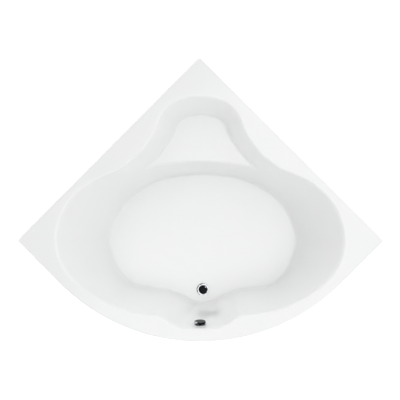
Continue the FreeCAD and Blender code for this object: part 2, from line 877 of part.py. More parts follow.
def overflow_body():
    flange = rod(overflow_flange_radius, overflow_flange_height,
                 on_overflow(overflow_back - overflow_flange_height), overflow_axis)
    barrel_base = overflow_back - overflow_flange_height - overflow_barrel_length
    barrel = rod(overflow_barrel_radius, overflow_barrel_length, on_overflow(barrel_base), overflow_axis)
    neck = rod(overflow_neck_radius, -overflow_back, on_overflow(overflow_back), overflow_axis)
    down = Vector(0, 0, -1)
    spout_length = spout_point.z - spout_bottom
    spout = rod(pipe_radius + socket_wall, spout_length, spout_point, down)
    gland_length_down = spout_point.z - cable_top
    gland_point = spout_point + Vector(-cable_offset, 0, 0)
    gland = rod(gland_radius, gland_length_down, gland_point, down)
    bores = [
        rod(overflow_neck_radius - overflow_wall, -barrel_base,
            on_overflow(barrel_base + overflow_wall), overflow_axis),
        rod(pipe_radius + running_clearance, spout_length, spout_point, down),
        rod(cable_radius + running_clearance, gland_length_down, gland_point, down),
    ]
    return without(joined(flange, barrel, neck, spout, gland), bores)


def overflow_plate():
    bore = spindle_radius + running_clearance
    base = on_overflow(seating_gap)
    plate = ring(overflow_plate_radius, overflow_neck_radius - overflow_wall, overflow_plate_height,
                 base, overflow_axis)
    hub = rod(bore + overflow_wall, overflow_plate_height, base, overflow_axis)
    arms = []
    for turn in spider_turns:
        arm = Part.makeBox(overflow_neck_radius, overflow_arm_width, overflow_plate_height,
                           Vector(0, -overflow_arm_width / 2, 0))
        arm.rotate(Vector(0, 0, 0), up, turn)
        arm.rotate(Vector(0, 0, 0), Vector(1, 0, 0), math.degrees(wall_tilt) - 90)
        arm.translate(base)
        arms.append(arm)
    return joined(plate, hub, *arms).cut(rod(bore, overflow_plate_height, base, overflow_axis))


def overflow_knob():
    disc = rod(knob_radius, knob_height, on_overflow(knob_standoff), overflow_axis)
    rims = [edge for edge in disc.Edges if edge.Curve.TypeId == "Part::GeomCircle"]
    disc = disc.makeFillet(knob_edge_radius, rims)
    hub_base = seating_gap + overflow_plate_height + seating_gap
    base = on_overflow(hub_base)
    hub = rod(spindle_radius + knob_hub_wall, knob_standoff - hub_base, base, overflow_axis)
    return joined(disc, hub).cut(rod(spindle_radius, knob_height, base, overflow_axis))


def knob_spindle():
    top = seating_gap + overflow_plate_height + seating_gap + knob_height
    shaft = rod(spindle_radius, spindle_length, on_overflow(top - spindle_length), overflow_axis)
    cam = rod(cam_radius, cam_height, on_overflow(top - spindle_length), overflow_axis)
    return joined(shaft, cam)


# ---- Overflow pipe, nuts and cable ----

pipe_top = spout_bottom + pipe_engagement
pipe_end_y = waste_y - socket_length + pipe_engagement
pipe_corners = [
    Vector(0, spout_point.y, pipe_top),
    Vector(0, spout_point.y, inlet_z),
    Vector(0, pipe_end_y, inlet_z),
]


def overflow_pipe():
    outer = bent_rod(pipe_corners, [pipe_bend], pipe_radius)
    inner = bent_rod(pipe_corners, [pipe_bend], pipe_radius - pipe_wall)
    return outer.cut(inner)


def socket_nut(mouth, axis):
    """A union nut over a socket's mouth, with a lip that closes on the pipe."""
    bore = pipe_radius + socket_wall + running_clearance
    sleeve = ring(bore + nut_wall, bore, nut_length, mouth - axis * nut_length, axis)
    lip = ring(bore + nut_wall, pipe_radius + running_clearance, nut_lip, mouth, axis)
    return joined(sleeve, lip)


def pipe_nut_upper():
    return socket_nut(Vector(0, spout_point.y, spout_bottom), Vector(0, 0, -1))


def pipe_nut_lower():
    return socket_nut(Vector(0, waste_y - socket_length, inlet_z), Vector(0, -1, 0))


cable_end = at_waste(lever_z - lever_drop, -body_outer - gland_length + cable_engagement)
cable_route = [
    Vector(-cable_offset, spout_point.y, cable_top + cable_engagement),
    Vector(-cable_offset, spout_point.y, inlet_z + cable_lead),
    Vector(-cable_sway, spout_point.y + cable_sway, inlet_z - cable_dip),
    Vector(-cable_loop, waste_y - cable_run, cable_end.z),
    Vector(-cable_loop, waste_y, cable_end.z),
    cable_end,
]


def route_radii(route):
    """The largest arc that each corner's two runs allow."""
    radii = []
    for before, corner, after in zip(route, route[1:], route[2:]):
        shorter = min((corner - before).Length, (after - corner).Length)
        radii.append(0.45 * shorter / math.tan((corner - before).getAngle(after - corner) / 2))
    return radii


def lift_cable():
    radii = route_radii(cable_route)
    cable = bent_rod(cable_route, radii, cable_radius)
    length = bent_path(cable_route, radii).Length
    print("cable radii", [round(radius) for radius in radii],
          "volume ratio", round(cable.Volume / (math.pi * cable_radius ** 2 * length), 4))
    return cable


def cable_clip():
    base = Vector(0, spout_point.y, (inlet_z + spout_bottom) / 2)
    cable_base = base - Vector(cable_offset, 0, 0)
    around_pipe = rod(pipe_radius + clip_wall, clip_height, base)
    around_cable = rod(cable_radius + clip_wall, clip_height, cable_base)
    return without(joined(around_pipe, around_cable), [
        rod(pipe_radius + running_clearance, clip_height, base),
        rod(cable_radius + running_clearance, clip_height, cable_base),
    ])


# ---- Trap ----

trap_top = outlet_bottom - trap_inlet_run
trap_low = trap_top - trap_bend
trap_socket_inner = waste_outlet_radius + trap_socket_gap
trap_socket_outer = trap_socket_inner + trap_socket_wall
trap_outlet_z = trap_top + trap_elbow_bend
trap_rise = 2 * trap_bend
trap_elbow_end = trap_rise + trap_elbow_bend
trap_end = trap_elbow_end + trap_outlet_run
trap_way = Vector(math.cos(math.radians(trap_heading)), math.sin(math.radians(trap_heading)), 0)
trap_side = Vector(trap_way.y, -trap_way.x, 0)


def on_trap(z, along=0):
    return at_waste(z) + trap_way * along


def trap_run(radius):
    """The bent tube from the inlet down, round the bottom, up and out sideways."""
    lean = trap_elbow_bend * (1 - math.sqrt(0.5))
    elbow_middle = on_trap(trap_outlet_z - lean, trap_rise + lean)
    elbow_end = on_trap(trap_outlet_z, trap_elbow_end)
    path = Part.Wire([
        Part.LineSegment(on_trap(outlet_bottom), on_trap(trap_top)).toShape(),
        Part.Arc(on_trap(trap_top), on_trap(trap_low, trap_bend), on_trap(trap_top, trap_rise)).toShape(),
        Part.Arc(on_trap(trap_top, trap_rise), elbow_middle, elbow_end).toShape(),
        Part.LineSegment(elbow_end, on_trap(trap_outlet_z, trap_end)).toShape(),
    ])
    section = Part.Wire([Part.makeCircle(radius, on_trap(outlet_bottom), up * -1)])
    return path.makePipeShell([section], True, False)


def trap_body():
    socket_height = waste_outlet_length - trap_seat
    socket = rod(trap_socket_outer, socket_height + trap_seat, at_waste(outlet_bottom - trap_seat))
    boss_base = on_trap(trap_low, trap_bend)
    boss = rod(cleanout_radius, cleanout_reach, boss_base, trap_side)
    bores = [
        trap_run(waste_outlet_radius - trap_wall),
        rod(trap_socket_inner, socket_height, at_waste(outlet_bottom)),
        rod(cleanout_radius - cleanout_wall, cleanout_reach, boss_base, trap_side),
    ]
    return without(joined(trap_run(waste_outlet_radius), socket, boss), bores)


def trap_nut():
    top = body_bottom - trap_seat
    bore = trap_socket_outer + running_clearance
    sleeve = ring(bore + trap_nut_wall, bore, trap_nut_height, at_waste(top - trap_nut_height))
    lip = ring(bore + trap_nut_wall, trap_socket_inner, trap_nut_lip, at_waste(top))
    return joined(sleeve, lip)


def trap_cap():
    bore = cleanout_radius + running_clearance
    mouth = on_trap(trap_low, trap_bend) + trap_side * cleanout_reach
    outer = bore + cleanout_wall
    sleeve = ring(outer, bore, cleanout_cap_height, mouth - trap_side * cleanout_cap_height, trap_side)
    return joined(sleeve, rod(outer, cleanout_wall, mouth, trap_side))


# ---- All pieces ----

pieces = {
    "tub_shell": tub_shell(),
    "base_board": base_board(),
    "seat_board": seat_board(),
    "rim_batten_left": rim_batten(left_wall),
    "rim_batten_right": rim_batten(right_wall),
    "bow_batten": bow_batten(),
    "bow_panel": bow_panel(),
    "panel_stay_left": panel_stay(-1),
    "panel_stay_right": panel_stay(1),
    "panel_screws": panel_screws(),
    "panel_screw_caps": panel_screw_caps(),
    "cradle_front": cradle(0),
    "cradle_back": cradle(1),
    "cradle_screws": cradle_screws(),
    "foot_nuts": foot_nuts(),
    "seat_post": seat_post(),
    "seat_post_bush": seat_post_bush(),
    "seat_post_screws": seat_post_screws(),
    "wall_bracket_screws": wall_bracket_screws(),
    "waste_flange": waste_flange(),
    "waste_seal": waste_seal(),
    "waste_gasket": waste_gasket(),
    "waste_body": waste_body(),
    "plug_cap": plug_cap(),
    "plug_seal": plug_seal(),
    "plug_stem": plug_stem(),
    "lift_lever": lift_lever(),
    "lever_pin": lever_pin(),
    "overflow_seal": overflow_seal(),
    "overflow_body": overflow_body(),
    "overflow_plate": overflow_plate(),
    "overflow_knob": overflow_knob(),
    "knob_spindle": knob_spindle(),
    "overflow_pipe": overflow_pipe(),
    "pipe_nut_upper": pipe_nut_upper(),
    "pipe_nut_lower": pipe_nut_lower(),
    "lift_cable": lift_cable(),
    "cable_clip": cable_clip(),
    "trap_body": trap_body(),
    "trap_nut": trap_nut(),
    "trap_cap": trap_cap(),
}
for number in range(len(foot_points)):
    pieces["foot_rod_%d" % (number + 1)] = foot_rod(number)
    pieces["foot_pad_%d" % (number + 1)] = foot_pad(number)
for wall_name, wall in (("left", left_wall), ("right", right_wall)):
    for place_name, place in zip(("inner", "outer"), bracket_places):
        pieces["wall_bracket_%s_%s" % (wall_name, place_name)] = wall_bracket(wall, place)

os.makedirs("parts", exist_ok=True)
for name, shape in pieces.items():
    solids = shape.Solids
    if not solids or not shape.isValid():
        print("check", name, len(solids), shape.isValid())
    shape.exportStep("parts/%s.step" % name)
print(len(pieces), "pieces, rim corner at y", round(corner_y, 1), "front at y", round(front_y, 1))
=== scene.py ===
import math

import bmesh
import bpy
import numpy as np
from mathutils import Matrix, Vector


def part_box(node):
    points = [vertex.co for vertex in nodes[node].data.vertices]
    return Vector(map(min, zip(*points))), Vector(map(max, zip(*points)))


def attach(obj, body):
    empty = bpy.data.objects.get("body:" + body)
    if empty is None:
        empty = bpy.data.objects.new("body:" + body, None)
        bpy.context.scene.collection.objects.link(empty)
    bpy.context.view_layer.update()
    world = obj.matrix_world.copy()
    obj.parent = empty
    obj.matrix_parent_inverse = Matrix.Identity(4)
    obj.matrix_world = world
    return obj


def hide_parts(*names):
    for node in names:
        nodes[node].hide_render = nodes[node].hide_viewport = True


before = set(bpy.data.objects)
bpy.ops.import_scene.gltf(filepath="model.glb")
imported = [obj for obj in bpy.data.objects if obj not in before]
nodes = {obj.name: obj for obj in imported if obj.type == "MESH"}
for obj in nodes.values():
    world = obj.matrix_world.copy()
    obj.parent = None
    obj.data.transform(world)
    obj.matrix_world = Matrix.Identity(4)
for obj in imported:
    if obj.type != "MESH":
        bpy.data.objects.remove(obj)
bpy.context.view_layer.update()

mm = 0.001
sharpAngle = math.radians(35)      # edges that turn by more are shaded sharp
print("stage: frame loaded,", len(nodes), "nodes")


def linearColour(hexText):
    # sRGB hex to the linear colour that Blender works with
    channels = [int(hexText[i:i + 2], 16) / 255 for i in (1, 3, 5)]
    linear = [c / 12.92 if c <= 0.04045 else ((c + 0.055) / 1.055) ** 2.4 for c in channels]
    return (*linear, 1.0)


def addNode(tree, kind, inputs=None, stops=(), **settings):
    # each input takes a socket, a node (its first output), a list of them, or a plain value; stops
    # are a colour ramp's (position, sRGB hex) pairs
    node = tree.nodes.new(kind)
    for name, value in settings.items():
        setattr(node, name, value)
    for name, value in (inputs or {}).items():
        for source in value if isinstance(value, list) else [value]:
            if isinstance(source, bpy.types.Node):
                source = source.outputs[0]
            if isinstance(source, bpy.types.NodeSocket):
                tree.links.new(source, node.inputs[name])
            else:
                node.inputs[name].default_value = source
    if stops:
        elements = node.color_ramp.elements
        while len(elements) < len(stops):
            elements.new(0.5)
        for element, (position, hexText) in zip(elements, stops):
            element.position, element.color = position, linearColour(hexText)
    return node


def addPiece(name, data):
    # a new object, linked to the scene
    piece = bpy.data.objects.new(name, data)
    bpy.context.scene.collection.objects.link(piece)
    return piece


def newMaterial(name):
    # an empty material and its tree
    material = bpy.data.materials.new(name)
    material.use_nodes = True
    material.node_tree.nodes.clear()
    return material, material.node_tree


def makeSanitaryAcrylic():
    # cast acrylic sheet, vacuum formed: a hard clear gloss with a very faint stretched ripple
    material, tree = newMaterial("sanitaryAcrylic")
    place = addNode(tree, "ShaderNodeTexCoord").outputs["Object"]
    cloud = addNode(tree, "ShaderNodeTexNoise", {"Vector": place, "Scale": 1 / (220 * mm), "Detail": 2.0})
    colour = addNode(tree, "ShaderNodeValToRGB", {"Fac": cloud},
                     stops=[(0.3, "#fbfcfc"), (0.7, "#fcfdfc")])
    wipe = addNode(tree, "ShaderNodeTexNoise",
                   {"Vector": place, "Scale": 1 / (35 * mm), "Detail": 4.0, "Roughness": 0.6})
    gloss = addNode(tree, "ShaderNodeMapRange", {"Value": wipe, "To Min": 0.09, "To Max": 0.14})
    ripple = addNode(tree, "ShaderNodeTexNoise", {"Vector": place, "Scale": 1 / (90 * mm), "Detail": 1.0})
    relief = addNode(tree, "ShaderNodeBump",
                     {"Height": ripple, "Strength": 0.08, "Distance": 0.4 * mm})
    surface = addNode(tree, "ShaderNodeBsdfPrincipled",
                      {"Base Color": colour, "Roughness": gloss, "IOR": 1.49, "Coat Weight": 0.35,
                       "Coat Roughness": 0.07, "Normal": relief})
    addNode(tree, "ShaderNodeOutputMaterial", {"Surface": surface})
    return material


def makeGlassFibreLaminate():
    # chopped strands in polyester resin, rolled on by hand: coarse, uneven and half gloss
    material, tree = newMaterial("glassFibreLaminate")
    place = addNode(tree, "ShaderNodeTexCoord").outputs["Object"]
    lay = addNode(tree, "ShaderNodeMapping",
                  {"Vector": place, "Scale": (1.0, 3.2, 1.0), "Rotation": (0.3, 0.9, 0.6)})
    strands = addNode(tree, "ShaderNodeTexNoise",
                      {"Vector": lay, "Scale": 1 / (14 * mm), "Detail": 6.0, "Roughness": 0.7})
    patches = addNode(tree, "ShaderNodeTexNoise",
                      {"Vector": place, "Scale": 1 / (120 * mm), "Detail": 3.0})
    both = addNode(tree, "ShaderNodeMix", {"Factor": 0.35, "A": strands, "B": patches})
    colour = addNode(tree, "ShaderNodeValToRGB", {"Fac": both},
                     stops=[(0.3, "#c9c7b4"), (0.5, "#dcdac8"), (0.7, "#e9e7d8")])
    gloss = addNode(tree, "ShaderNodeMapRange", {"Value": strands, "To Min": 0.35, "To Max": 0.6})
    relief = addNode(tree, "ShaderNodeBump",
                     {"Height": strands, "Strength": 0.8, "Distance": 1.2 * mm})
    surface = addNode(tree, "ShaderNodeBsdfPrincipled",
                      {"Base Color": colour, "Roughness": gloss, "Normal": relief})
    addNode(tree, "ShaderNodeOutputMaterial", {"Surface": surface})
    return material


def makeChrome():
    # nickel-chrome plate on brass, buffed: a mirror with a trace of water marks
    material, tree = newMaterial("polishedChrome")
    place = addNode(tree, "ShaderNodeTexCoord").outputs["Object"]
    marks = addNode(tree, "ShaderNodeTexNoise",
                    {"Vector": place, "Scale": 1 / (6 * mm), "Detail": 4.0, "Roughness": 0.6})
    colour = addNode(tree, "ShaderNodeValToRGB", {"Fac": marks},
                     stops=[(0.35, "#c6c9cc"), (0.65, "#d4d6d8")])
    gloss = addNode(tree, "ShaderNodeMapRange", {"Value": marks, "To Min": 0.04, "To Max": 0.09})
    surface = addNode(tree, "ShaderNodeBsdfPrincipled",
                      {"Base Color": colour, "Roughness": gloss, "Metallic": 1.0})
    addNode(tree, "ShaderNodeOutputMaterial", {"Surface": surface})
    return material


def makePaintedReflectionChrome(name, glintSpot, reach):
    # chrome painted near black as a dark reflection, with a painted glint of satin silver round the spot
    # given
    material, tree = newMaterial(name)
    place = addNode(tree, "ShaderNodeTexCoord").outputs["Object"]
    away = addNode(tree, "ShaderNodeVectorMath", {0: place, 1: glintSpot}, operation="DISTANCE")
    paintedGlint = addNode(tree, "ShaderNodeMapRange",      # the painted glint fades out over the last third of the reach
                   {"Value": away.outputs["Value"], "From Min": reach * 0.7, "From Max": reach,
                    "To Min": 1.0, "To Max": 0.0})
    # a noise mottle, painted as the broken reflection of a dark room on the metal
    marks = addNode(tree, "ShaderNodeTexNoise",
                    {"Vector": place, "Scale": 1 / (9 * mm), "Detail": 3.0, "Roughness": 0.6})
    both = addNode(tree, "ShaderNodeMix", {"Factor": 0.35, "A": paintedGlint, "B": marks})
    # near black and dark grey are painted dark reflection; the silver is the painted glint
    colour = addNode(tree, "ShaderNodeValToRGB", {"Fac": both},
                     stops=[(0.22, "#17181a"), (0.34, "#3a3c3f"), (0.6, "#d6d8da")])
    gloss = addNode(tree, "ShaderNodeMapRange", {"Value": both, "To Min": 0.02, "To Max": 0.55})
    surface = addNode(tree, "ShaderNodeBsdfPrincipled",
                      {"Base Color": colour, "Roughness": gloss, "Metallic": 1.0})
    addNode(tree, "ShaderNodeOutputMaterial", {"Surface": surface})
    return material


def makeChipboard():
    # moisture-proof chipboard: pressed flakes of several browns, dull and slightly open
    material, tree = newMaterial("moistureProofChipboard")
    place = addNode(tree, "ShaderNodeTexCoord").outputs["Object"]
    flat = addNode(tree, "ShaderNodeMapping", {"Vector": place, "Scale": (1.0, 1.0, 2.6)})
    flakes = addNode(tree, "ShaderNodeTexVoronoi",
                     {"Vector": flat, "Scale": 1 / (5 * mm), "Randomness": 1.0})
    grey = addNode(tree, "ShaderNodeRGBToBW", {"Color": flakes.outputs["Color"]})
    dust = addNode(tree, "ShaderNodeTexNoise",
                   {"Vector": place, "Scale": 1 / (2 * mm), "Detail": 4.0, "Roughness": 0.7})
    both = addNode(tree, "ShaderNodeMix", {"Factor": 0.4, "A": grey, "B": dust})
    colour = addNode(tree, "ShaderNodeValToRGB", {"Fac": both},
                     stops=[(0.2, "#8f6c45"), (0.5, "#b8935f"), (0.8, "#d6b886")])
    gloss = addNode(tree, "ShaderNodeMapRange", {"Value": both, "To Min": 0.7, "To Max": 0.9})
    relief = addNode(tree, "ShaderNodeBump", {"Height": both, "Strength": 0.6, "Distance": 0.5 * mm})
    surface = addNode(tree, "ShaderNodeBsdfPrincipled",
                      {"Base Color": colour, "Roughness": gloss, "Normal": relief})
    addNode(tree, "ShaderNodeOutputMaterial", {"Surface": surface})
    return material


def makePine():
    # planed pine: pale wood with level grain lines and a slow change of tone along the batten
    material, tree = newMaterial("planedPine")
    place = addNode(tree, "ShaderNodeTexCoord").outputs["Object"]
    along = addNode(tree, "ShaderNodeMapping", {"Vector": place, "Scale": (0.05, 0.05, 1.0)})
    grain = addNode(tree, "ShaderNodeTexNoise",
                    {"Vector": along, "Scale": 1 / (3 * mm), "Detail": 5.0, "Roughness": 0.6})
    wide = addNode(tree, "ShaderNodeMapping", {"Vector": place, "Scale": (0.3, 0.3, 1.0)})
    tone = addNode(tree, "ShaderNodeTexNoise", {"Vector": wide, "Scale": 1 / (40 * mm), "Detail": 2.0})
    both = addNode(tree, "ShaderNodeMix", {"Factor": 0.4, "A": grain, "B": tone})
    colour = addNode(tree, "ShaderNodeValToRGB", {"Fac": both},
                     stops=[(0.35, "#b98c55"), (0.5, "#d8b57c"), (0.65, "#e6cb98")])
    gloss = addNode(tree, "ShaderNodeMapRange", {"Value": grain, "To Min": 0.5, "To Max": 0.7})
    relief = addNode(tree, "ShaderNodeBump",
                     {"Height": grain, "Strength": 0.5, "Distance": 0.25 * mm})
    surface = addNode(tree, "ShaderNodeBsdfPrincipled",
                      {"Base Color": colour, "Roughness": gloss, "Normal": relief})
    addNode(tree, "ShaderNodeOutputMaterial", {"Surface": surface})
    return material


def makeGalvanised():
    # hot-dipped zinc on sheet steel: frosty crystals of slightly different greys
    material, tree = newMaterial("galvanisedSteel")
    place = addNode(tree, "ShaderNodeTexCoord").outputs["Object"]
    crystals = addNode(tree, "ShaderNodeTexVoronoi",
                       {"Vector": place, "Scale": 1 / (9 * mm), "Randomness": 1.0})
    grey = addNode(tree, "ShaderNodeRGBToBW", {"Color": crystals.outputs["Color"]})
    frost = addNode(tree, "ShaderNodeTexNoise", {"Vector": place, "Scale": 1 / (3 * mm), "Detail": 3.0})
    both = addNode(tree, "ShaderNodeMix", {"Factor": 0.3, "A": grey, "B": frost})
    colour = addNode(tree, "ShaderNodeValToRGB", {"Fac": both},
                     stops=[(0.2, "#9ea4a8"), (0.8, "#c3c8ca")])
    gloss = addNode(tree, "ShaderNodeMapRange", {"Value": both, "To Min": 0.3, "To Max": 0.5})
    surface = addNode(tree, "ShaderNodeBsdfPrincipled",
                      {"Base Color": colour, "Roughness": gloss, "Metallic": 1.0})
    addNode(tree, "ShaderNodeOutputMaterial", {"Surface": surface})
    return material


def makeSpeckled(name, colours, blot, rough, height, more=None):
    # a moulded, plated or coated surface with a mottle of blots, which stand height proud. The real
    # grain is finer: blot is as coarse as it needs to be to show
    material, tree = newMaterial(name)
    place = addNode(tree, "ShaderNodeTexCoord").outputs["Object"]
    fine = addNode(tree, "ShaderNodeTexNoise",
                   {"Vector": place, "Scale": 1 / blot, "Detail": 4.0, "Roughness": 0.6})
    broad = addNode(tree, "ShaderNodeTexNoise", {"Vector": place, "Scale": 1 / (12 * blot), "Detail": 2.0})
    both = addNode(tree, "ShaderNodeMix", {"Factor": 0.5, "A": fine, "B": broad})
    colour = addNode(tree, "ShaderNodeValToRGB", {"Fac": both},
                     stops=[(0.3, colours[0]), (0.7, colours[1])])
    gloss = addNode(tree, "ShaderNodeMapRange", {"Value": both, "To Min": rough[0], "To Max": rough[1]})
    relief = addNode(tree, "ShaderNodeBump", {"Height": fine, "Strength": 0.4, "Distance": height})
    surface = addNode(tree, "ShaderNodeBsdfPrincipled",
                      {"Base Color": colour, "Roughness": gloss, "Normal": relief, **(more or {})})
    addNode(tree, "ShaderNodeOutputMaterial", {"Surface": surface})
    return material


materials = {
    "acrylic": makeSanitaryAcrylic(),
    "laminate": makeGlassFibreLaminate(),
    "chrome": makeChrome(),
    "chipboard": makeChipboard(),
    "pine": makePine(),
    "galvanised": makeGalvanised(),
    # bright zinc plating: a soft metal sheen, faintly blue
    "zinc_steel": makeSpeckled("brightZincPlate", ("#b4b9bf", "#c9cdd0"), 1.5 * mm, (0.22, 0.34),
                               0.05 * mm, {"Metallic": 1.0}),
    # baked powder coat: light grey with an orange-peel skin
    "painted_steel": makeSpeckled("greyPowderCoat", ("#c4c7c6", "#cfd1d0"), 1.2 * mm, (0.3, 0.42),
                                  0.15 * mm),
    # moulded nylon: near black, fine matt grain
    "foot_plastic": makeSpeckled("blackNylon", ("#17171a", "#222225"), 0.8 * mm, (0.45, 0.6), 0.08 * mm),
    # moulded polypropylene: gloss white, very even
    "white_plastic": makeSpeckled("whitePolypropylene", ("#ecece9", "#f2f2ef"), 2 * mm, (0.2, 0.3),
                                  0.04 * mm),
    # moulded pipe plastic: waxy white, with a little light inside
    "pipe_plastic": makeSpeckled("wastePipePlastic", ("#dfdfda", "#e8e8e4"), 2.5 * mm, (0.35, 0.5),
                                 0.06 * mm, {"Subsurface Weight": 0.05}),
    # moulded fittings: mid grey, eggshell finish
    "grey_plastic": makeSpeckled("greyFittingPlastic", ("#666b70", "#747a7f"), 1.5 * mm, (0.35, 0.5),
                                 0.06 * mm),
    # pressed rubber washers: soft black, nearly matt
    "rubber": makeSpeckled("blackRubber", ("#141414", "#1d1d1c"), 1 * mm, (0.65, 0.85), 0.1 * mm),
    # turned brass: a warm metal, a little dulled
    "brass": makeSpeckled("turnedBrass", ("#b08c48", "#c5a15a"), 0.8 * mm, (0.2, 0.32), 0.03 * mm,
                          {"Metallic": 1.0}),
    # drawn vinyl sheath: dark grey, half matt
    "cable_sheath": makeSpeckled("vinylSheath", ("#2a2c2e", "#35383a"), 1 * mm, (0.4, 0.55), 0.05 * mm),
}

glintPatch = dict(knobReach=27 * mm, plugReach=5 * mm, plugIn=(7 * mm, 9 * mm, 0))      # painted glints: the reach of each, and plugIn sets the plug's glint in from its corner
knobLow, knobHigh = [Vector(corner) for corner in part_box("overflow_knob")]
knobGlintSpot = Vector((knobLow.x, knobHigh.y, knobHigh.z))
plugGlintSpot = Vector(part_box("plug_cap")[1]) - Vector(glintPatch["plugIn"])
# the knob and plug are chrome painted dark as a reflection, each with a painted glint
materials["knobChrome"] = makePaintedReflectionChrome("knobChromePaintedReflection", knobGlintSpot, glintPatch["knobReach"])
materials["plugChrome"] = makePaintedReflectionChrome("plugChromePaintedReflection", plugGlintSpot, glintPatch["plugReach"])
print("stage: materials made,", len(materials))


tub = dict(      # in metres, apart from shares, counts and turns
    legLength=1.400, returnLength=0.326, cornerRadius=0.012, leastCorner=0.001,
    rimHeight=0.580, rimInset=0.0003,      # the inset keeps the outline inside the frame's facets
    edgeRadius=0.005, lipDepth=0.038, lipLoop=0.002, underCove=0.003,
    rimWall=0.005, basinWall=0.008, wallGrowth=0.060,      # wallGrowth: depth over which it thickens
    basinFromFront=0.550, basinDepth=0.420,
    rimReach=(0.776, 0.480, 0.482), floorReach=(0.541, 0.362, 0.369),
    bayReach=(0.397, 0.771, 0.771), seatReach=(0.312, 0.690, 0.690), seatDepth=0.190,
    bayCentre=0.520, bayRun=0.045, floorCove=0.032, seatCove=0.022, seatNose=0.024, rimRoll=0.016,
    shoulderNose=0.110, shoulderFrom=0.300, shoulderTo=0.400,
    overflowDepth=0.075, overflowFlat=0.040, overflowSpread=0.022, overflowSink=0.0008,
    holeRadius=0.026, holeReach=0.030, holeSides=64,
    openGap=0.00001, openMargin=0.004, leastRim=0.030,      # where the wall's rings end
    floorShare=0.90, floorRings=(0.06, 0.20, 0.36, 0.52, 0.68, 0.82), wallRings=88, backStep=3,
    browReach=2.2, browRings=(0.25, 0.50, 0.75, 1.00), edgeRings=6,
    turns=560, cornerSteps=6, cornerTurn=0.0028, leastTurn=0.0009,
    crowding=0.10,      # metres of run that a turn of one radian is worth
    wallProbes=500, openProbes=400, spanPoints=24, cornerPoints=13, runPoints=200, bowPoints=300,
)

# half outlines from above, as shares of their reach: right, up and down
rimShape = [
    (0.00, 1.00), (0.21, 0.99), (0.40, 0.94), (0.51, 0.84), (0.63, 0.75), (0.77, 0.64), (0.91, 0.43),
    (0.98, 0.20), (1.00, 0.00), (0.98, -0.20), (0.93, -0.36), (0.84, -0.52), (0.70, -0.67),
    (0.54, -0.78), (0.39, -0.83), (0.28, -0.85), (0.20, -0.93), (0.11, -0.99), (0.00, -1.00),
]
floorShape = [
    (0.00, 1.00), (0.20, 0.98), (0.40, 0.93), (0.54, 0.85), (0.66, 0.75), (0.79, 0.61), (0.91, 0.37),
    (0.98, 0.12), (1.00, -0.07), (0.97, -0.24), (0.91, -0.45), (0.79, -0.66), (0.66, -0.75),
    (0.51, -0.78), (0.38, -0.80), (0.28, -0.85), (0.18, -0.91), (0.10, -0.98), (0.00, -1.00),
]
bayShape = [
    (0.00, 1.00), (0.31, 0.97), (0.51, 0.88), (0.62, 0.75), (0.78, 0.63), (0.94, 0.54), (1.00, 0.47),
    (0.83, 0.39), (0.00, 0.38),
]
seatShape = [
    (0.00, 1.00), (0.37, 0.95), (0.48, 0.87), (0.56, 0.79), (0.75, 0.67), (0.93, 0.58), (1.00, 0.51),
    (0.83, 0.43), (0.00, 0.42),
]

bowRadius = tub["legLength"] - tub["returnLength"]
cornerCut = tub["cornerRadius"] * (math.sqrt(2) - 1)
cornerY = (tub["returnLength"] * math.sqrt(2) + bowRadius + cornerCut) / 2
bowCentreY = cornerY - tub["returnLength"] * math.sqrt(2)
basinY = bowCentreY - bowRadius + tub["basinFromFront"]
floorZ = tub["rimHeight"] - tub["basinDepth"]
seatZ = tub["rimHeight"] - tub["seatDepth"]


def smoothRing(shape, reach):
    # periodic cubic spline through a mirrored half outline, relative to the basin's middle
    half = [(x * reach[0], y * (reach[1] if y > 0 else reach[2])) for x, y in shape]
    points = np.array(half + [(-x, y) for x, y in reversed(half[1:-1])])
    count = len(points)
    system = np.zeros((count, count))
    for i in range(count):
        system[i, i - 1], system[i, i], system[i, (i + 1) % count] = 1, 4, 1
    bend = np.linalg.solve(system, 6 * (np.roll(points, 1, 0) - 2 * points + np.roll(points, -1, 0)))
    ring = []
    for i in range(count):
        j = (i + 1) % count
        for t in np.arange(tub["spanPoints"]) / tub["spanPoints"]:
            u = 1 - t
            ring.append(u * points[i] + t * points[j]
                        + ((u ** 3 - u) * bend[i] + (t ** 3 - t) * bend[j]) / 6)
    return np.array(ring)


def ringRadius(ring, centreY=0.0):
    # radius of the ring as a function of the angle about (0, centreY)
    angle = np.arctan2(ring[:, 1] - centreY, ring[:, 0])
    radius = np.hypot(ring[:, 0], ring[:, 1] - centreY)
    order = np.argsort(angle)
    return lambda a: np.interp(a, angle[order], radius[order], period=2 * math.pi)


def smoothLow(a, b, blend):
    # the lower of two heights, with a rounded change where they are within blend
    gap = np.maximum(blend - np.abs(a - b), 0) / blend
    return np.minimum(a, b) - gap * gap * blend / 4


def smoothHigh(a, b, blend):
    # the higher of two, likewise
    return -smoothLow(-a, -b, blend)


rimRadius = ringRadius(smoothRing(rimShape, tub["rimReach"]))
floorRadius = ringRadius(smoothRing(floorShape, tub["floorReach"]))
bayRadius = ringRadius(smoothRing(bayShape, tub["bayReach"]), tub["bayCentre"])
seatRadius = ringRadius(smoothRing(seatShape, tub["seatReach"]), tub["bayCentre"])

wallTilt = math.atan2(tub["rimReach"][2] - tub["floorReach"][2], tub["basinDepth"])
overflowAxis = np.array([0, math.cos(wallTilt), math.sin(wallTilt)])
overflowFace = np.array([0, math.tan(wallTilt) * tub["overflowDepth"] - tub["rimReach"][2],
                         tub["rimHeight"] - tub["overflowDepth"]]) - overflowAxis * tub["overflowSink"]


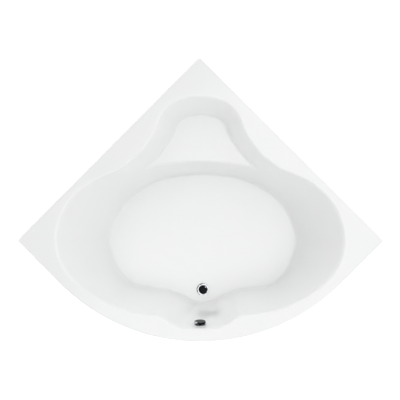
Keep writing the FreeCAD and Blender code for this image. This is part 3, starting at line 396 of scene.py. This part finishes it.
def shellHeight(x, y):
    # height of the tub's upper surface over (x, y), y from the basin's middle
    angle, radius = np.arctan2(y, x), np.hypot(x, y)
    low, high = floorRadius(angle), rimRadius(angle)
    basin = floorZ + tub["basinDepth"] * (radius - low) / (high - low)
    basin = smoothHigh(basin, np.full_like(basin, floorZ), tub["floorCove"])
    angle, radius = np.arctan2(y - tub["bayCentre"], x), np.hypot(x, y - tub["bayCentre"])
    low, high = seatRadius(angle), bayRadius(angle)
    bay = seatZ + tub["seatDepth"] * (radius - low) / np.maximum(high - low, tub["bayRun"])
    bay = smoothHigh(bay, np.full_like(bay, seatZ), tub["seatCove"])
    share = np.clip((np.abs(x) - tub["shoulderFrom"]) / (tub["shoulderTo"] - tub["shoulderFrom"]), 0, 1)
    hollow = smoothLow(basin, bay, tub["seatNose"] + (tub["shoulderNose"] - tub["seatNose"]) * share)
    height = smoothLow(hollow, np.full_like(hollow, tub["rimHeight"]), tub["rimRoll"])
    # the overflow's seat is flat, and fades into the wall
    flat = overflowFace[2] - (y - overflowFace[1]) * overflowAxis[1] / overflowAxis[2]
    reach = np.sqrt(x ** 2 + (y - overflowFace[1]) ** 2 + (height - overflowFace[2]) ** 2)
    share = np.clip((tub["overflowFlat"] + tub["overflowSpread"] - reach) / tub["overflowSpread"], 0, 1)
    share = share * share * (3 - 2 * share)
    return height + (flat - height) * share


def rimOutline(inset):
    # dense points along the rim's outline, moved inwards by inset
    inset += tub["rimInset"]
    root = math.sqrt(2)
    corner = np.array([0, cornerY - inset * root])
    right, left = np.array([1, -1]) / root, np.array([-1, -1]) / root
    run = tub["legLength"] - 2 * inset
    radius = max(tub["cornerRadius"] - inset, tub["leastCorner"])
    points = []

    def addCorner(before, point, after):
        into = (point - before) / np.linalg.norm(point - before)
        out = (after - point) / np.linalg.norm(after - point)
        centre = point - into * radius + out * radius
        for t in np.linspace(0, math.pi / 2, tub["cornerPoints"]):
            points.append(centre - out * radius * math.cos(t) + into * radius * math.sin(t))

    def addRun(start, end):
        for t in np.linspace(0, 1, tub["runPoints"])[1:-1]:
            points.append(start + (end - start) * t)

    rightTip, leftTip = corner + right * run, corner + left * run
    centre = np.array([0, bowCentreY])
    rightBow, leftBow = centre + right * (bowRadius - inset), centre + left * (bowRadius - inset)
    addCorner(leftTip, corner, rightTip)
    addRun(corner + right * radius, rightTip - right * radius)
    addCorner(corner, rightTip, rightBow)
    addRun(rightTip + left * radius, rightBow)
    for a in np.linspace(-math.pi / 4, -3 * math.pi / 4, tub["bowPoints"]):
        points.append(centre + (bowRadius - inset) * np.array([math.cos(a), math.sin(a)]))
    addRun(leftBow, leftTip + right * radius)
    addCorner(leftBow, leftTip, corner)
    addRun(leftTip - left * radius, corner + left * radius)
    return np.array(points) - np.array([0, basinY])


def shellAngles():
    # even turns, with more of them round the three corners
    even = np.linspace(-math.pi, math.pi, tub["turns"], endpoint=False)
    reach, steps = tub["legLength"] / math.sqrt(2), tub["cornerSteps"]
    extra = []
    for x, y in ((0, cornerY), (reach, cornerY - reach), (-reach, cornerY - reach)):
        middle = math.atan2(y - basinY, x)
        extra += [middle + step * tub["cornerTurn"] for step in range(-steps, steps + 1)]
    both = np.unique(np.round(np.concatenate([even, np.array(extra)]), 5))
    wrapped = np.unique(np.round((both + math.pi) % (2 * math.pi) - math.pi, 5))
    return wrapped[np.concatenate([[True], np.diff(wrapped) > tub["leastTurn"]])]


def crowdedPlaces(angles, inner, margin):
    # ring radii for each angle, close together where the surface turns
    share = np.linspace(0, 1, tub["wallProbes"])
    rings = np.zeros((tub["wallRings"], len(angles)))
    for i, a in enumerate(angles):
        r = inner[i] + (margin[i] - inner[i]) * share
        z = shellHeight(r * math.cos(a), r * math.sin(a))
        run, slope = np.hypot(np.diff(r), np.diff(z)), np.arctan2(np.diff(z), np.diff(r))
        worth = np.cumsum(run + tub["crowding"] * np.abs(np.diff(slope, append=slope[-1])))
        worth = np.concatenate([[0], worth / worth[-1]])
        rings[:, i] = np.interp(np.linspace(0, 1, tub["wallRings"]), worth, share)
    for repeat in range(2):              # even out from one angle to the next
        rings = (np.roll(rings, 1, 1) + 2 * rings + np.roll(rings, -1, 1)) / 4
    return inner + (margin - inner) * rings


def buildTubShell():
    angles = shellAngles()
    turns = len(angles)
    foot, outer = floorRadius(angles), ringRadius(rimOutline(0.0))(angles)
    openRadius = np.zeros_like(angles)
    for i, a in enumerate(angles):      # where the hollow meets the rim's plane
        r = foot[i] + (outer[i] - foot[i]) * np.linspace(0, 1, tub["openProbes"])
        z = shellHeight(r * math.cos(a), r * math.sin(a))
        openRadius[i] = r[np.argmax(z > tub["rimHeight"] - tub["openGap"])]
    inner = foot * tub["floorShare"]
    margin = np.minimum(openRadius + tub["openMargin"], outer - tub["leastRim"])

    rings = []      # (x, y, z) arrays, outwards over the upper side and inwards along the back

    def addRing(radius, z=None):
        # at height z, or on the upper surface
        x, y = radius * np.cos(angles), radius * np.sin(angles)
        rings.append(np.stack([x, y, shellHeight(x, y) if z is None else np.full_like(x, z)], 1))

    for share in tub["floorRings"]:
        addRing(inner * share)
    for radius in crowdedPlaces(angles, inner, margin):
        addRing(radius)
    upperBasin = len(rings)
    rim, edge = tub["rimHeight"], tub["edgeRadius"]
    brow = ringRadius(rimOutline(edge * tub["browReach"]))(angles)
    for share in tub["browRings"]:
        addRing(margin + (brow - margin) * share, rim)
    for t in np.linspace(0, math.pi / 2, tub["edgeRings"]):
        addRing(ringRadius(rimOutline(edge * (1 - math.sin(t))))(angles), rim - edge * (1 - math.cos(t)))
    lipBottom = rim - tub["lipDepth"]
    for z in (rim - edge * 2, lipBottom + tub["lipLoop"], lipBottom):
        addRing(outer, z)
    upperCount = len(rings)
    wall, cove = tub["rimWall"], tub["underCove"]
    inside = ringRadius(rimOutline(wall))(angles)
    for z in (lipBottom, lipBottom + tub["lipLoop"], rim - wall - cove):
        addRing(inside, z)
    addRing(ringRadius(rimOutline(wall + cove))(angles), rim - wall)

    # the laminate's side: upper rings moved along their normals by the wall
    grid = np.array(rings[:upperBasin])
    around = np.roll(grid, -1, 1) - np.roll(grid, 1, 1)
    outward = np.gradient(grid, axis=0)
    normal = np.cross(outward, around)
    normal /= np.linalg.norm(normal, axis=2, keepdims=True)
    normal *= np.where(normal[..., 2:3] < 0, -1, 1)
    share = np.clip((rim - grid[..., 2:3]) / tub["wallGrowth"], 0, 1)
    back = grid - normal * (wall + (tub["basinWall"] - wall) * share)
    lastFloor = len(tub["floorRings"]) - 1
    rings += [back[k] for k in range(upperBasin - 1, lastFloor, -tub["backStep"])]
    rings += [back[k] for k in range(lastFloor - 1, -1, -2)]

    vertices = np.concatenate(rings + [np.array([[0, 0, floorZ], [0, 0, floorZ - tub["basinWall"]]])])
    vertices[:, 1] += basinY
    top, bottom = len(vertices) - 2, len(vertices) - 1
    last = (len(rings) - 1) * turns
    faces, slots = [], []      # slot 0 is acrylic, 1 is laminate
    for k in range(len(rings) - 1):
        for i in range(turns):
            j = (i + 1) % turns
            faces.append((k * turns + i, (k + 1) * turns + i, (k + 1) * turns + j, k * turns + j))
            slots.append(1 if k >= upperCount else 0)
    for i in range(turns):
        j = (i + 1) % turns
        faces += [(top, i, j), (bottom, last + j, last + i)]
        slots += [0, 1]
    mesh = bpy.data.meshes.new("tubShell")
    mesh.from_pydata(vertices.tolist(), [], faces)
    mesh.materials.append(materials["acrylic"])
    mesh.materials.append(materials["laminate"])
    mesh.polygons.foreach_set("material_index", slots)
    mesh.polygons.foreach_set("use_smooth", [True] * len(faces))
    mesh.update()
    return addPiece("tubShell", mesh)


def settle(piece, modifier):
    # turns the modifier's result into a plain mesh
    graph = bpy.context.evaluated_depsgraph_get()
    solid = bpy.data.meshes.new_from_object(piece.evaluated_get(graph))
    piece.modifiers.remove(modifier)
    old = piece.data
    piece.data = solid
    bpy.data.meshes.remove(old)


def cutHole(piece, base, tip):
    # opens a round hole from base to tip
    axis = Vector(tip) - Vector(base)
    turn = axis.to_track_quat("Z", "Y").to_matrix().to_4x4()
    cutter = bpy.data.meshes.new("cutter")
    work = bmesh.new()
    bmesh.ops.create_cone(work, cap_ends=True, segments=tub["holeSides"], radius1=tub["holeRadius"],
                          radius2=tub["holeRadius"], depth=axis.length,
                          matrix=Matrix.Translation((Vector(base) + Vector(tip)) / 2) @ turn)
    work.to_mesh(cutter)
    work.free()
    cutter.materials.append(materials["laminate"])
    tool = addPiece("cutter", cutter)
    cut = piece.modifiers.new("hole", "BOOLEAN")
    cut.operation = "DIFFERENCE"
    cut.solver = "EXACT"
    cut.object = tool
    settle(piece, cut)
    bpy.data.objects.remove(tool)
    bpy.data.meshes.remove(cutter)


tubShell = buildTubShell()
wasteLow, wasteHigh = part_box("waste_seal")
wasteMiddle = np.array([(wasteLow[0] + wasteHigh[0]) / 2, (wasteLow[1] + wasteHigh[1]) / 2, floorZ])
overflowMiddle = overflowFace + np.array([0, basinY, 0])
for middle, axis in ((wasteMiddle, np.array([0, 0, 1])), (overflowMiddle, overflowAxis)):
    cutHole(tubShell, middle - tub["holeReach"] * axis, middle + tub["holeReach"] * axis)
tubShell.data.set_sharp_from_angle(angle=sharpAngle)
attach(tubShell, "root")
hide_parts("tub_shell")
print("stage: tub shell,", len(tubShell.data.polygons), "faces")

weldDistance = 2e-6                # the frame's doubled points lie closer than this
flatAngle = math.radians(0.4)      # its flat faces turn by less


def smoothCopy(node, name, edge):
    # the node's own form, merged, shaded smooth and with its sharp edges eased by edge metres
    mesh = nodes[node].data.copy()
    mesh.name = name
    work = bmesh.new()
    work.from_mesh(mesh)
    bmesh.ops.remove_doubles(work, verts=work.verts, dist=weldDistance)
    bmesh.ops.dissolve_limit(work, angle_limit=flatAngle, verts=work.verts, edges=work.edges)
    work.to_mesh(mesh)
    work.free()
    mesh.materials.clear()
    piece = addPiece(name, mesh)
    if edge:
        ease = piece.modifiers.new("edge", "BEVEL")
        ease.width = edge
        ease.segments = 2
        ease.limit_method = "ANGLE"
        ease.angle_limit = sharpAngle
        settle(piece, ease)
    piece.data.polygons.foreach_set("use_smooth", [True] * len(piece.data.polygons))
    piece.data.set_sharp_from_angle(angle=sharpAngle)
    return piece


def finishPiece(piece, node, finish, body="root"):
    piece.data.materials.clear()
    piece.data.materials.append(materials[finish])
    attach(piece, body)
    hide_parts(node)


copies = {      # node: (piece, material, body, eased edge in mm)
    "base_board": ("baseBoard", "chipboard", "root", 0.5),
    "seat_board": ("seatBoard", "chipboard", "root", 0.5),
    "rim_batten_left": ("rimBattenLeft", "pine", "root", 1.5),
    "rim_batten_right": ("rimBattenRight", "pine", "root", 1.5),
    "bow_batten": ("bowBatten", "pine", "root", 1.5),
    "bow_panel": ("bowPanel", "acrylic", "root", 1.2),
    "panel_stay_left": ("panelStayLeft", "galvanised", "root", 0.6),
    "panel_stay_right": ("panelStayRight", "galvanised", "root", 0.6),
    "cradle_front": ("cradleFront", "galvanised", "root", 0.5),
    "cradle_back": ("cradleBack", "galvanised", "root", 0.5),
    "foot_nuts": ("footNuts", "zinc_steel", "root", 0.6),
    "seat_post": ("seatPost", "painted_steel", "root", 0.6),
    "seat_post_bush": ("seatPostBush", "foot_plastic", "root", 0.4),
    "waste_flange": ("wasteFlange", "chrome", "root", 0.3),
    "waste_seal": ("wasteSeal", "rubber", "root", 0.2),
    "waste_gasket": ("wasteGasket", "rubber", "root", 0.3),
    "waste_body": ("wasteBody", "pipe_plastic", "root", 0.4),
    "plug_cap": ("plugCap", "plugChrome", "plug", 0.2),
    "plug_seal": ("plugSeal", "rubber", "plug", 0.2),
    "plug_stem": ("plugStem", "brass", "plug", 0.2),
    "lift_lever": ("liftLever", "grey_plastic", "lever", 0.3),
    "lever_pin": ("leverPin", "brass", "root", 0.2),
    "overflow_seal": ("overflowSeal", "rubber", "root", 0.3),
    "overflow_body": ("overflowBody", "pipe_plastic", "root", 0.4),
    "overflow_plate": ("overflowPlate", "chrome", "root", 0.3),
    "overflow_knob": ("overflowKnob", "knobChrome", "knob", 0.3),
    "knob_spindle": ("knobSpindle", "brass", "knob", 0.2),
    "pipe_nut_upper": ("pipeNutUpper", "grey_plastic", "root", 0.5),
    "pipe_nut_lower": ("pipeNutLower", "grey_plastic", "root", 0.5),
    "lift_cable": ("liftCable", "cable_sheath", "root", 0.0),
    "cable_clip": ("cableClip", "grey_plastic", "root", 0.3),
    "trap_body": ("trapBody", "pipe_plastic", "root", 0.4),
    "trap_nut": ("trapNut", "grey_plastic", "root", 0.5),
    "trap_cap": ("trapCap", "grey_plastic", "root", 0.5),
    "panel_screw_caps": ("panelScrewCaps", "white_plastic", "root", 0.4),
}
for side in ("left", "right"):
    for place in ("inner", "outer"):
        copies["wall_bracket_%s_%s" % (side, place)] = (
            "wallBracket%s%s" % (side.title(), place.title()), "galvanised", "root", 0.5)
for number in range(1, 6):
    copies["foot_pad_%d" % number] = ("footPad%d" % number, "foot_plastic", "foot_%d" % number, 0.6)

for node, (name, finish, body, edge) in copies.items():
    finishPiece(smoothCopy(node, name, edge * mm), node, finish, body)
print("stage: frame pieces dressed,", len(copies))


def newTree(name, sizes):
    # a node group with named size inputs, and its input node's outputs
    tree = bpy.data.node_groups.new(name, "GeometryNodeTree")
    tree.interface.new_socket("Geometry", in_out="INPUT", socket_type="NodeSocketGeometry")
    for label, value in sizes.items():
        size = tree.interface.new_socket(label, in_out="INPUT", socket_type="NodeSocketFloat")
        size.default_value = value
    tree.interface.new_socket("Material", in_out="INPUT", socket_type="NodeSocketMaterial")
    tree.interface.new_socket("Geometry", in_out="OUTPUT", socket_type="NodeSocketGeometry")
    return tree, addNode(tree, "NodeGroupInput").outputs


def endTree(tree, start, parts):
    # joins the parts and gives them the tree's material
    joined = addNode(tree, "GeometryNodeJoinGeometry", {"Geometry": parts})
    whole = addNode(tree, "GeometryNodeRealizeInstances", {"Geometry": joined})
    coated = addNode(tree, "GeometryNodeSetMaterial", {"Geometry": whole, "Material": start["Material"]})
    addNode(tree, "NodeGroupOutput", {"Geometry": coated})


def threadOn(tree, radius, depth, pitch, height, sides):
    # a core and a ridge wound round it, from z 0 to height
    turns = addNode(tree, "ShaderNodeMath", {0: height, 1: pitch}, operation="DIVIDE")
    crest = addNode(tree, "ShaderNodeMath", {0: depth, 1: 0.5}, operation="MULTIPLY")
    line = addNode(tree, "ShaderNodeMath", {0: radius, 1: crest}, operation="SUBTRACT")
    wind = addNode(tree, "GeometryNodeCurveSpiral",
                   {"Rotations": turns, "Start Radius": line, "End Radius": line, "Height": height,
                    "Resolution": sides})
    profile = addNode(tree, "GeometryNodeCurvePrimitiveCircle", {"Radius": crest, "Resolution": 4})
    ridge = addNode(tree, "GeometryNodeCurveToMesh",
                    {"Curve": wind, "Profile Curve": profile, "Fill Caps": True})
    root = addNode(tree, "ShaderNodeMath", {0: radius, 1: depth}, operation="SUBTRACT")
    core = addNode(tree, "GeometryNodeMeshCylinder", {"Radius": root, "Depth": height, "Vertices": sides})
    half = addNode(tree, "ShaderNodeMath", {0: height, 1: 0.5}, operation="MULTIPLY")
    middle = addNode(tree, "ShaderNodeCombineXYZ", {"Z": half})
    return [ridge, addNode(tree, "GeometryNodeTransform", {"Geometry": core, "Translation": middle})]


footRod = {"Radius": 5 * mm, "Pitch": 1.5 * mm, "Depth": 0.9 * mm, "Length": 126 * mm}


def makeRodTree():
    tree, start = newTree("footRodThread", footRod)
    parts = threadOn(tree, start["Radius"], start["Depth"], start["Pitch"], start["Length"], sides=24)
    endTree(tree, start, parts)
    return tree


hose = dict(      # bend is the radius of its run's bend, and ends the gap left inside each union
    sizes={"Radius": 13.3 * mm, "Ripple": 0.05, "Pitch": 4.2 * mm, "Step": 0.6 * mm},
    bend=0.060, ends=0.001, downPoints=30, bendPoints=24, levelPoints=8)


def makeHoseTree():
    # follows the mesh line it is put on, and swells by Ripple, a share of its radius, every Pitch
    tree, start = newTree("overflowHose", hose["sizes"])
    line = addNode(tree, "GeometryNodeMeshToCurve", {"Mesh": start["Geometry"]})
    fine = addNode(tree, "GeometryNodeResampleCurve", {"Curve": line, "Length": start["Step"]},
                   mode="LENGTH")
    along = addNode(tree, "GeometryNodeSplineParameter").outputs["Length"]
    ribs = addNode(tree, "ShaderNodeMath", {0: along, 1: start["Pitch"]}, operation="DIVIDE")
    turn = addNode(tree, "ShaderNodeMath", {0: ribs, 1: 2 * math.pi}, operation="MULTIPLY")
    wave = addNode(tree, "ShaderNodeMath", {0: turn}, operation="SINE")
    swell = addNode(tree, "ShaderNodeMath", {0: wave, 1: start["Ripple"], 2: 1.0},
                    operation="MULTIPLY_ADD")
    profile = addNode(tree, "GeometryNodeCurvePrimitiveCircle",
                      {"Radius": start["Radius"], "Resolution": 32})
    skin = addNode(tree, "GeometryNodeCurveToMesh",
                   {"Curve": fine, "Profile Curve": profile, "Scale": swell, "Fill Caps": True})
    endTree(tree, start, [addNode(tree, "GeometryNodeSetShadeSmooth", {"Geometry": skin})])
    return tree


screw = {      # Crown and Slot Reach are shares of the head's radius, Slot Level and Sink of its height
    "Head Radius": 4.5 * mm, "Head Height": 2 * mm, "Crown": 0.72, "Slot Width": 0.9 * mm,
    "Slot Reach": 1.1, "Slot Level": -0.4, "Sink": 0.9, "Shank Radius": 2 * mm, "Length": 16 * mm,
    "Pitch": 1.6 * mm, "Depth": 0.7 * mm,
}


def makeScrewTree():
    # a cross-recess screw on each point, pointing along the attribute "along"
    tree, start = newTree("screws", screw)
    radius, height = start["Head Radius"], start["Head Height"]
    crown = addNode(tree, "ShaderNodeMath", {0: radius, 1: start["Crown"]}, operation="MULTIPLY")
    pan = addNode(tree, "GeometryNodeMeshCone",
                  {"Radius Bottom": crown, "Radius Top": radius, "Depth": height, "Vertices": 28})
    span = addNode(tree, "ShaderNodeMath", {0: radius, 1: start["Slot Reach"]}, operation="MULTIPLY")
    size = addNode(tree, "ShaderNodeCombineXYZ", {"X": span, "Y": start["Slot Width"], "Z": height})
    bar = addNode(tree, "GeometryNodeMeshCube", {"Size": size})
    level = addNode(tree, "ShaderNodeMath", {0: height, 1: start["Slot Level"]}, operation="MULTIPLY")
    down = addNode(tree, "ShaderNodeCombineXYZ", {"Z": level})
    bars = [addNode(tree, "GeometryNodeTransform",
                    {"Geometry": bar, "Translation": down, "Rotation": (0, 0, turn)})
            for turn in (0.0, math.pi / 2)]
    cut = addNode(tree, "GeometryNodeMeshBoolean", {"Mesh 1": pan, "Mesh 2": bars}, operation="DIFFERENCE")
    half = addNode(tree, "ShaderNodeMath", {0: height, 1: 0.5}, operation="MULTIPLY")
    seat = addNode(tree, "ShaderNodeCombineXYZ", {"Z": half})
    head = addNode(tree, "GeometryNodeTransform", {"Geometry": cut, "Translation": seat})
    parts = threadOn(tree, start["Shank Radius"], start["Depth"], start["Pitch"], start["Length"],
                     sides=14)
    thread = addNode(tree, "GeometryNodeJoinGeometry", {"Geometry": parts})
    neck = addNode(tree, "ShaderNodeMath", {0: height, 1: start["Sink"]}, operation="MULTIPLY")
    below = addNode(tree, "ShaderNodeCombineXYZ", {"Z": neck})
    shank = addNode(tree, "GeometryNodeTransform", {"Geometry": thread, "Translation": below})
    whole = addNode(tree, "GeometryNodeJoinGeometry", {"Geometry": [head, shank]})
    along = addNode(tree, "GeometryNodeInputNamedAttribute", {"Name": "along"}, data_type="FLOAT_VECTOR")
    turned = addNode(tree, "FunctionNodeAlignRotationToVector", {"Vector": along}, axis="Z")
    points = addNode(tree, "GeometryNodeMeshToPoints", {"Mesh": start["Geometry"]})
    endTree(tree, start, [addNode(tree, "GeometryNodeInstanceOnPoints",
                                  {"Points": points, "Instance": whole, "Rotation": turned})])
    return tree


def growPiece(name, mesh, tree, finish, **sizes):
    # runs the tree on the mesh and keeps its result as a plain mesh
    piece = addPiece(name, mesh)
    grow = piece.modifiers.new("grow", "NODES")
    grow.node_group = tree
    known = {item.name: item.identifier for item in tree.interface.items_tree if item.in_out == "INPUT"}
    for label, value in sizes.items():
        grow[known[label]] = value
    grow[known["Material"]] = materials[finish]
    settle(piece, grow)
    return piece


def screwPlaces(node):
    # each of the frame's screws: the middle of its head's outer face, its direction and its length
    headFrom = 3.5 * mm      # only the head is this far from the axis
    work = bmesh.new()
    work.from_mesh(nodes[node].data)
    bmesh.ops.remove_doubles(work, verts=work.verts, dist=weldDistance)
    work.verts.index_update()
    seen, places = set(), []
    for first in work.verts:
        if first.index in seen:
            continue
        seen.add(first.index)
        island = [first]
        for vertex in island:            # the list grows while it is read
            for link in vertex.link_edges:
                other = link.other_vert(vertex)
                if other.index not in seen:
                    seen.add(other.index)
                    island.append(other)
        points = np.array([vertex.co[:] for vertex in island])
        centre = (points.min(0) + points.max(0)) / 2
        spread = np.linalg.svd(points - points.mean(0))[2]
        shares = [np.ptp((points - centre) @ line) for line in spread]
        axis = spread[int(np.argmax(shares))]
        reach = (points - centre) @ axis
        inHead = np.linalg.norm((points - centre) - np.outer(reach, axis), axis=1) > headFrom
        if reach[inHead].mean() > 0:
            axis, reach = -axis, -reach
        places.append((centre + axis * reach.min(), axis, np.ptp(reach)))
    work.free()
    return places


def lineMesh(name, points, edges=()):
    # bare points and edges, for a tree to grow on
    mesh = bpy.data.meshes.new(name)
    mesh.from_pydata([tuple(point) for point in points], list(edges), [])
    return mesh


rodTree, hoseTree, screwTree = makeRodTree(), makeHoseTree(), makeScrewTree()

for number in range(1, 6):
    low, high = [Vector(corner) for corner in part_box("foot_rod_%d" % number)]
    rod = growPiece("footRod%d" % number, lineMesh("rod", [(0, 0, 0)]), rodTree, "zinc_steel",
                    Radius=(high.x - low.x) / 2, Length=high.z - low.z)
    rod.data.transform(Matrix.Translation(((low.x + high.x) / 2, (low.y + high.y) / 2, low.z)))
    finishPiece(rod, "foot_rod_%d" % number, "zinc_steel", "foot_%d" % number)

for node, name in (("panel_screws", "panelScrews"), ("cradle_screws", "cradleScrews"),
                   ("seat_post_screws", "seatPostScrews"), ("wall_bracket_screws", "wallBracketScrews")):
    places = screwPlaces(node)
    mesh = lineMesh("places", [place for place, axis, length in places])
    along = mesh.attributes.new("along", "FLOAT_VECTOR", "POINT")
    along.data.foreach_set("vector", np.array([axis for place, axis, length in places]).ravel())
    shankLength = float(places[0][2]) - screw["Sink"] * screw["Head Height"]
    screws = growPiece(name, mesh, screwTree, "zinc_steel", Length=shankLength)
    finishPiece(screws, node, "zinc_steel")
print("stage: threads and screws")

low, high = [Vector(corner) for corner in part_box("overflow_pipe")]
tubeRadius, bend = (high.x - low.x) / 2, hose["bend"]
downY, runZ = low.y + tubeRadius, low.z + tubeRadius
topZ, endY = high.z - hose["ends"], high.y - hose["ends"]
hoseLine = [(0, downY, topZ - (topZ - runZ - bend) * t)
            for t in np.linspace(0, 1, hose["downPoints"])]
hoseLine += [(0, downY + bend * (1 - math.cos(t)), runZ + bend * (1 - math.sin(t)))
             for t in np.linspace(0, math.pi / 2, hose["bendPoints"])[1:]]
hoseLine += [(0, downY + bend + (endY - downY - bend) * t, runZ)
             for t in np.linspace(0, 1, hose["levelPoints"])[1:]]
hoseEdges = [(i, i + 1) for i in range(len(hoseLine) - 1)]
pipe = growPiece("overflowPipe", lineMesh("line", hoseLine, hoseEdges), hoseTree, "pipe_plastic")
finishPiece(pipe, "overflow_pipe", "pipe_plastic")
print("stage: overflow hose")


view = dict(target=(0.003, -0.001, 0.580), distance=8.0, lean=0.37, frameWidth=2.153, sensor=36.0,
            farthest=50.0)
sky = dict(      # angles in degrees
    dome=dict(toward=(0, 0, 1), radius=66, edge=40, inside=0.62, outside=0.88),
    # the dimmer patch round the camera, the soft box beside it and a soft window behind
    hole=dict(toward=(0, 0, 1), radius=20, edge=16, inside=-0.58, outside=0.0),
    panel=dict(toward=(0.250, -0.195, 1), radius=22.2, edge=1.5, inside=1.62, outside=0.0),
    backGlow=dict(toward=(0, 1, 0.7), radius=30, edge=40, inside=0.50, outside=0.0),
)
studioFloor = dict(colour="#f6f6f6", lift=0.5, reach=12.0)


def makeCamera():
    camera = bpy.data.cameras.new("camera")
    camera.sensor_width = view["sensor"]
    camera.lens = view["sensor"] * view["distance"] / view["frameWidth"]
    camera.clip_end = view["farthest"]
    holder = addPiece("camera", camera)
    place = Vector(view["target"]) + Vector((view["lean"], 0, view["distance"]))
    holder.location = place
    ahead = (Vector(view["target"]) - place).normalized()
    right = ahead.cross(Vector((0, 1, 0))).normalized()
    turn = Matrix((right, right.cross(ahead), -ahead)).transposed()
    holder.rotation_mode = "QUATERNION"
    holder.rotation_quaternion = turn.to_quaternion()
    bpy.context.scene.camera = holder


def inDirection(tree, direction, spot):
    # the strength spot["inside"] round spot["toward"], spot["outside"] elsewhere, with a soft edge
    gap = addNode(tree, "ShaderNodeVectorMath", {0: direction, 1: Vector(spot["toward"]).normalized()},
                  operation="DISTANCE").outputs["Value"]
    middle, soft = 2 * math.sin(math.radians(spot["radius"]) / 2), math.radians(spot["edge"]) / 2
    return addNode(tree, "ShaderNodeMapRange",
                   {"Value": gap, "From Min": middle - soft, "From Max": middle + soft,
                    "To Min": spot["inside"], "To Max": spot["outside"]}, interpolation_type="SMOOTHSTEP")


def makeWorld():
    world = bpy.data.worlds.new("studio")
    bpy.context.scene.world = world
    world.use_nodes = True
    tree = world.node_tree
    tree.nodes.clear()
    direction = addNode(tree, "ShaderNodeTexCoord").outputs["Generated"]
    light = inDirection(tree, direction, sky["dome"])
    for name in ("hole", "panel", "backGlow"):
        spot = inDirection(tree, direction, sky[name])
        light = addNode(tree, "ShaderNodeMath", {0: light, 1: spot}, operation="ADD")
    seen = addNode(tree, "ShaderNodeLightPath").outputs["Is Camera Ray"]
    strength = addNode(tree, "ShaderNodeMix", {"Factor": seen, "A": light, "B": 1.0})      # seen as white
    air = addNode(tree, "ShaderNodeBackground", {"Strength": strength, "Color": (1, 1, 1, 1)})
    addNode(tree, "ShaderNodeOutputWorld", {"Surface": air})


def makeFloor():
    # matt white paper, lifted to white for the rays that see it as background
    material, tree = newMaterial("paleFloor")
    rays = addNode(tree, "ShaderNodeLightPath").outputs
    seen = addNode(tree, "ShaderNodeMath", {0: rays["Is Camera Ray"], 1: rays["Is Glossy Ray"]},
                   operation="MAXIMUM")
    seen = addNode(tree, "ShaderNodeMath", {0: seen, 1: rays["Is Transmission Ray"]}, operation="MAXIMUM")
    lift = addNode(tree, "ShaderNodeMapRange",
                   {"Value": seen, "To Min": 0.0, "To Max": studioFloor["lift"]})
    surface = addNode(tree, "ShaderNodeBsdfPrincipled",
                      {"Base Color": linearColour(studioFloor["colour"]), "Roughness": 0.9,
                       "Emission Color": (1, 1, 1, 1), "Emission Strength": lift})
    addNode(tree, "ShaderNodeOutputMaterial", {"Surface": surface})
    mesh = bpy.data.meshes.new("studioFloor")
    reach = studioFloor["reach"]
    mesh.from_pydata([(-reach, -reach, 0), (reach, -reach, 0), (reach, reach, 0), (-reach, reach, 0)],
                     [], [(0, 1, 2, 3)])
    mesh.materials.append(material)
    ground = addPiece("studioFloor", mesh)


makeCamera()
makeWorld()
makeFloor()
bpy.context.scene.view_settings.view_transform = "Standard"
print("stage: camera and light")
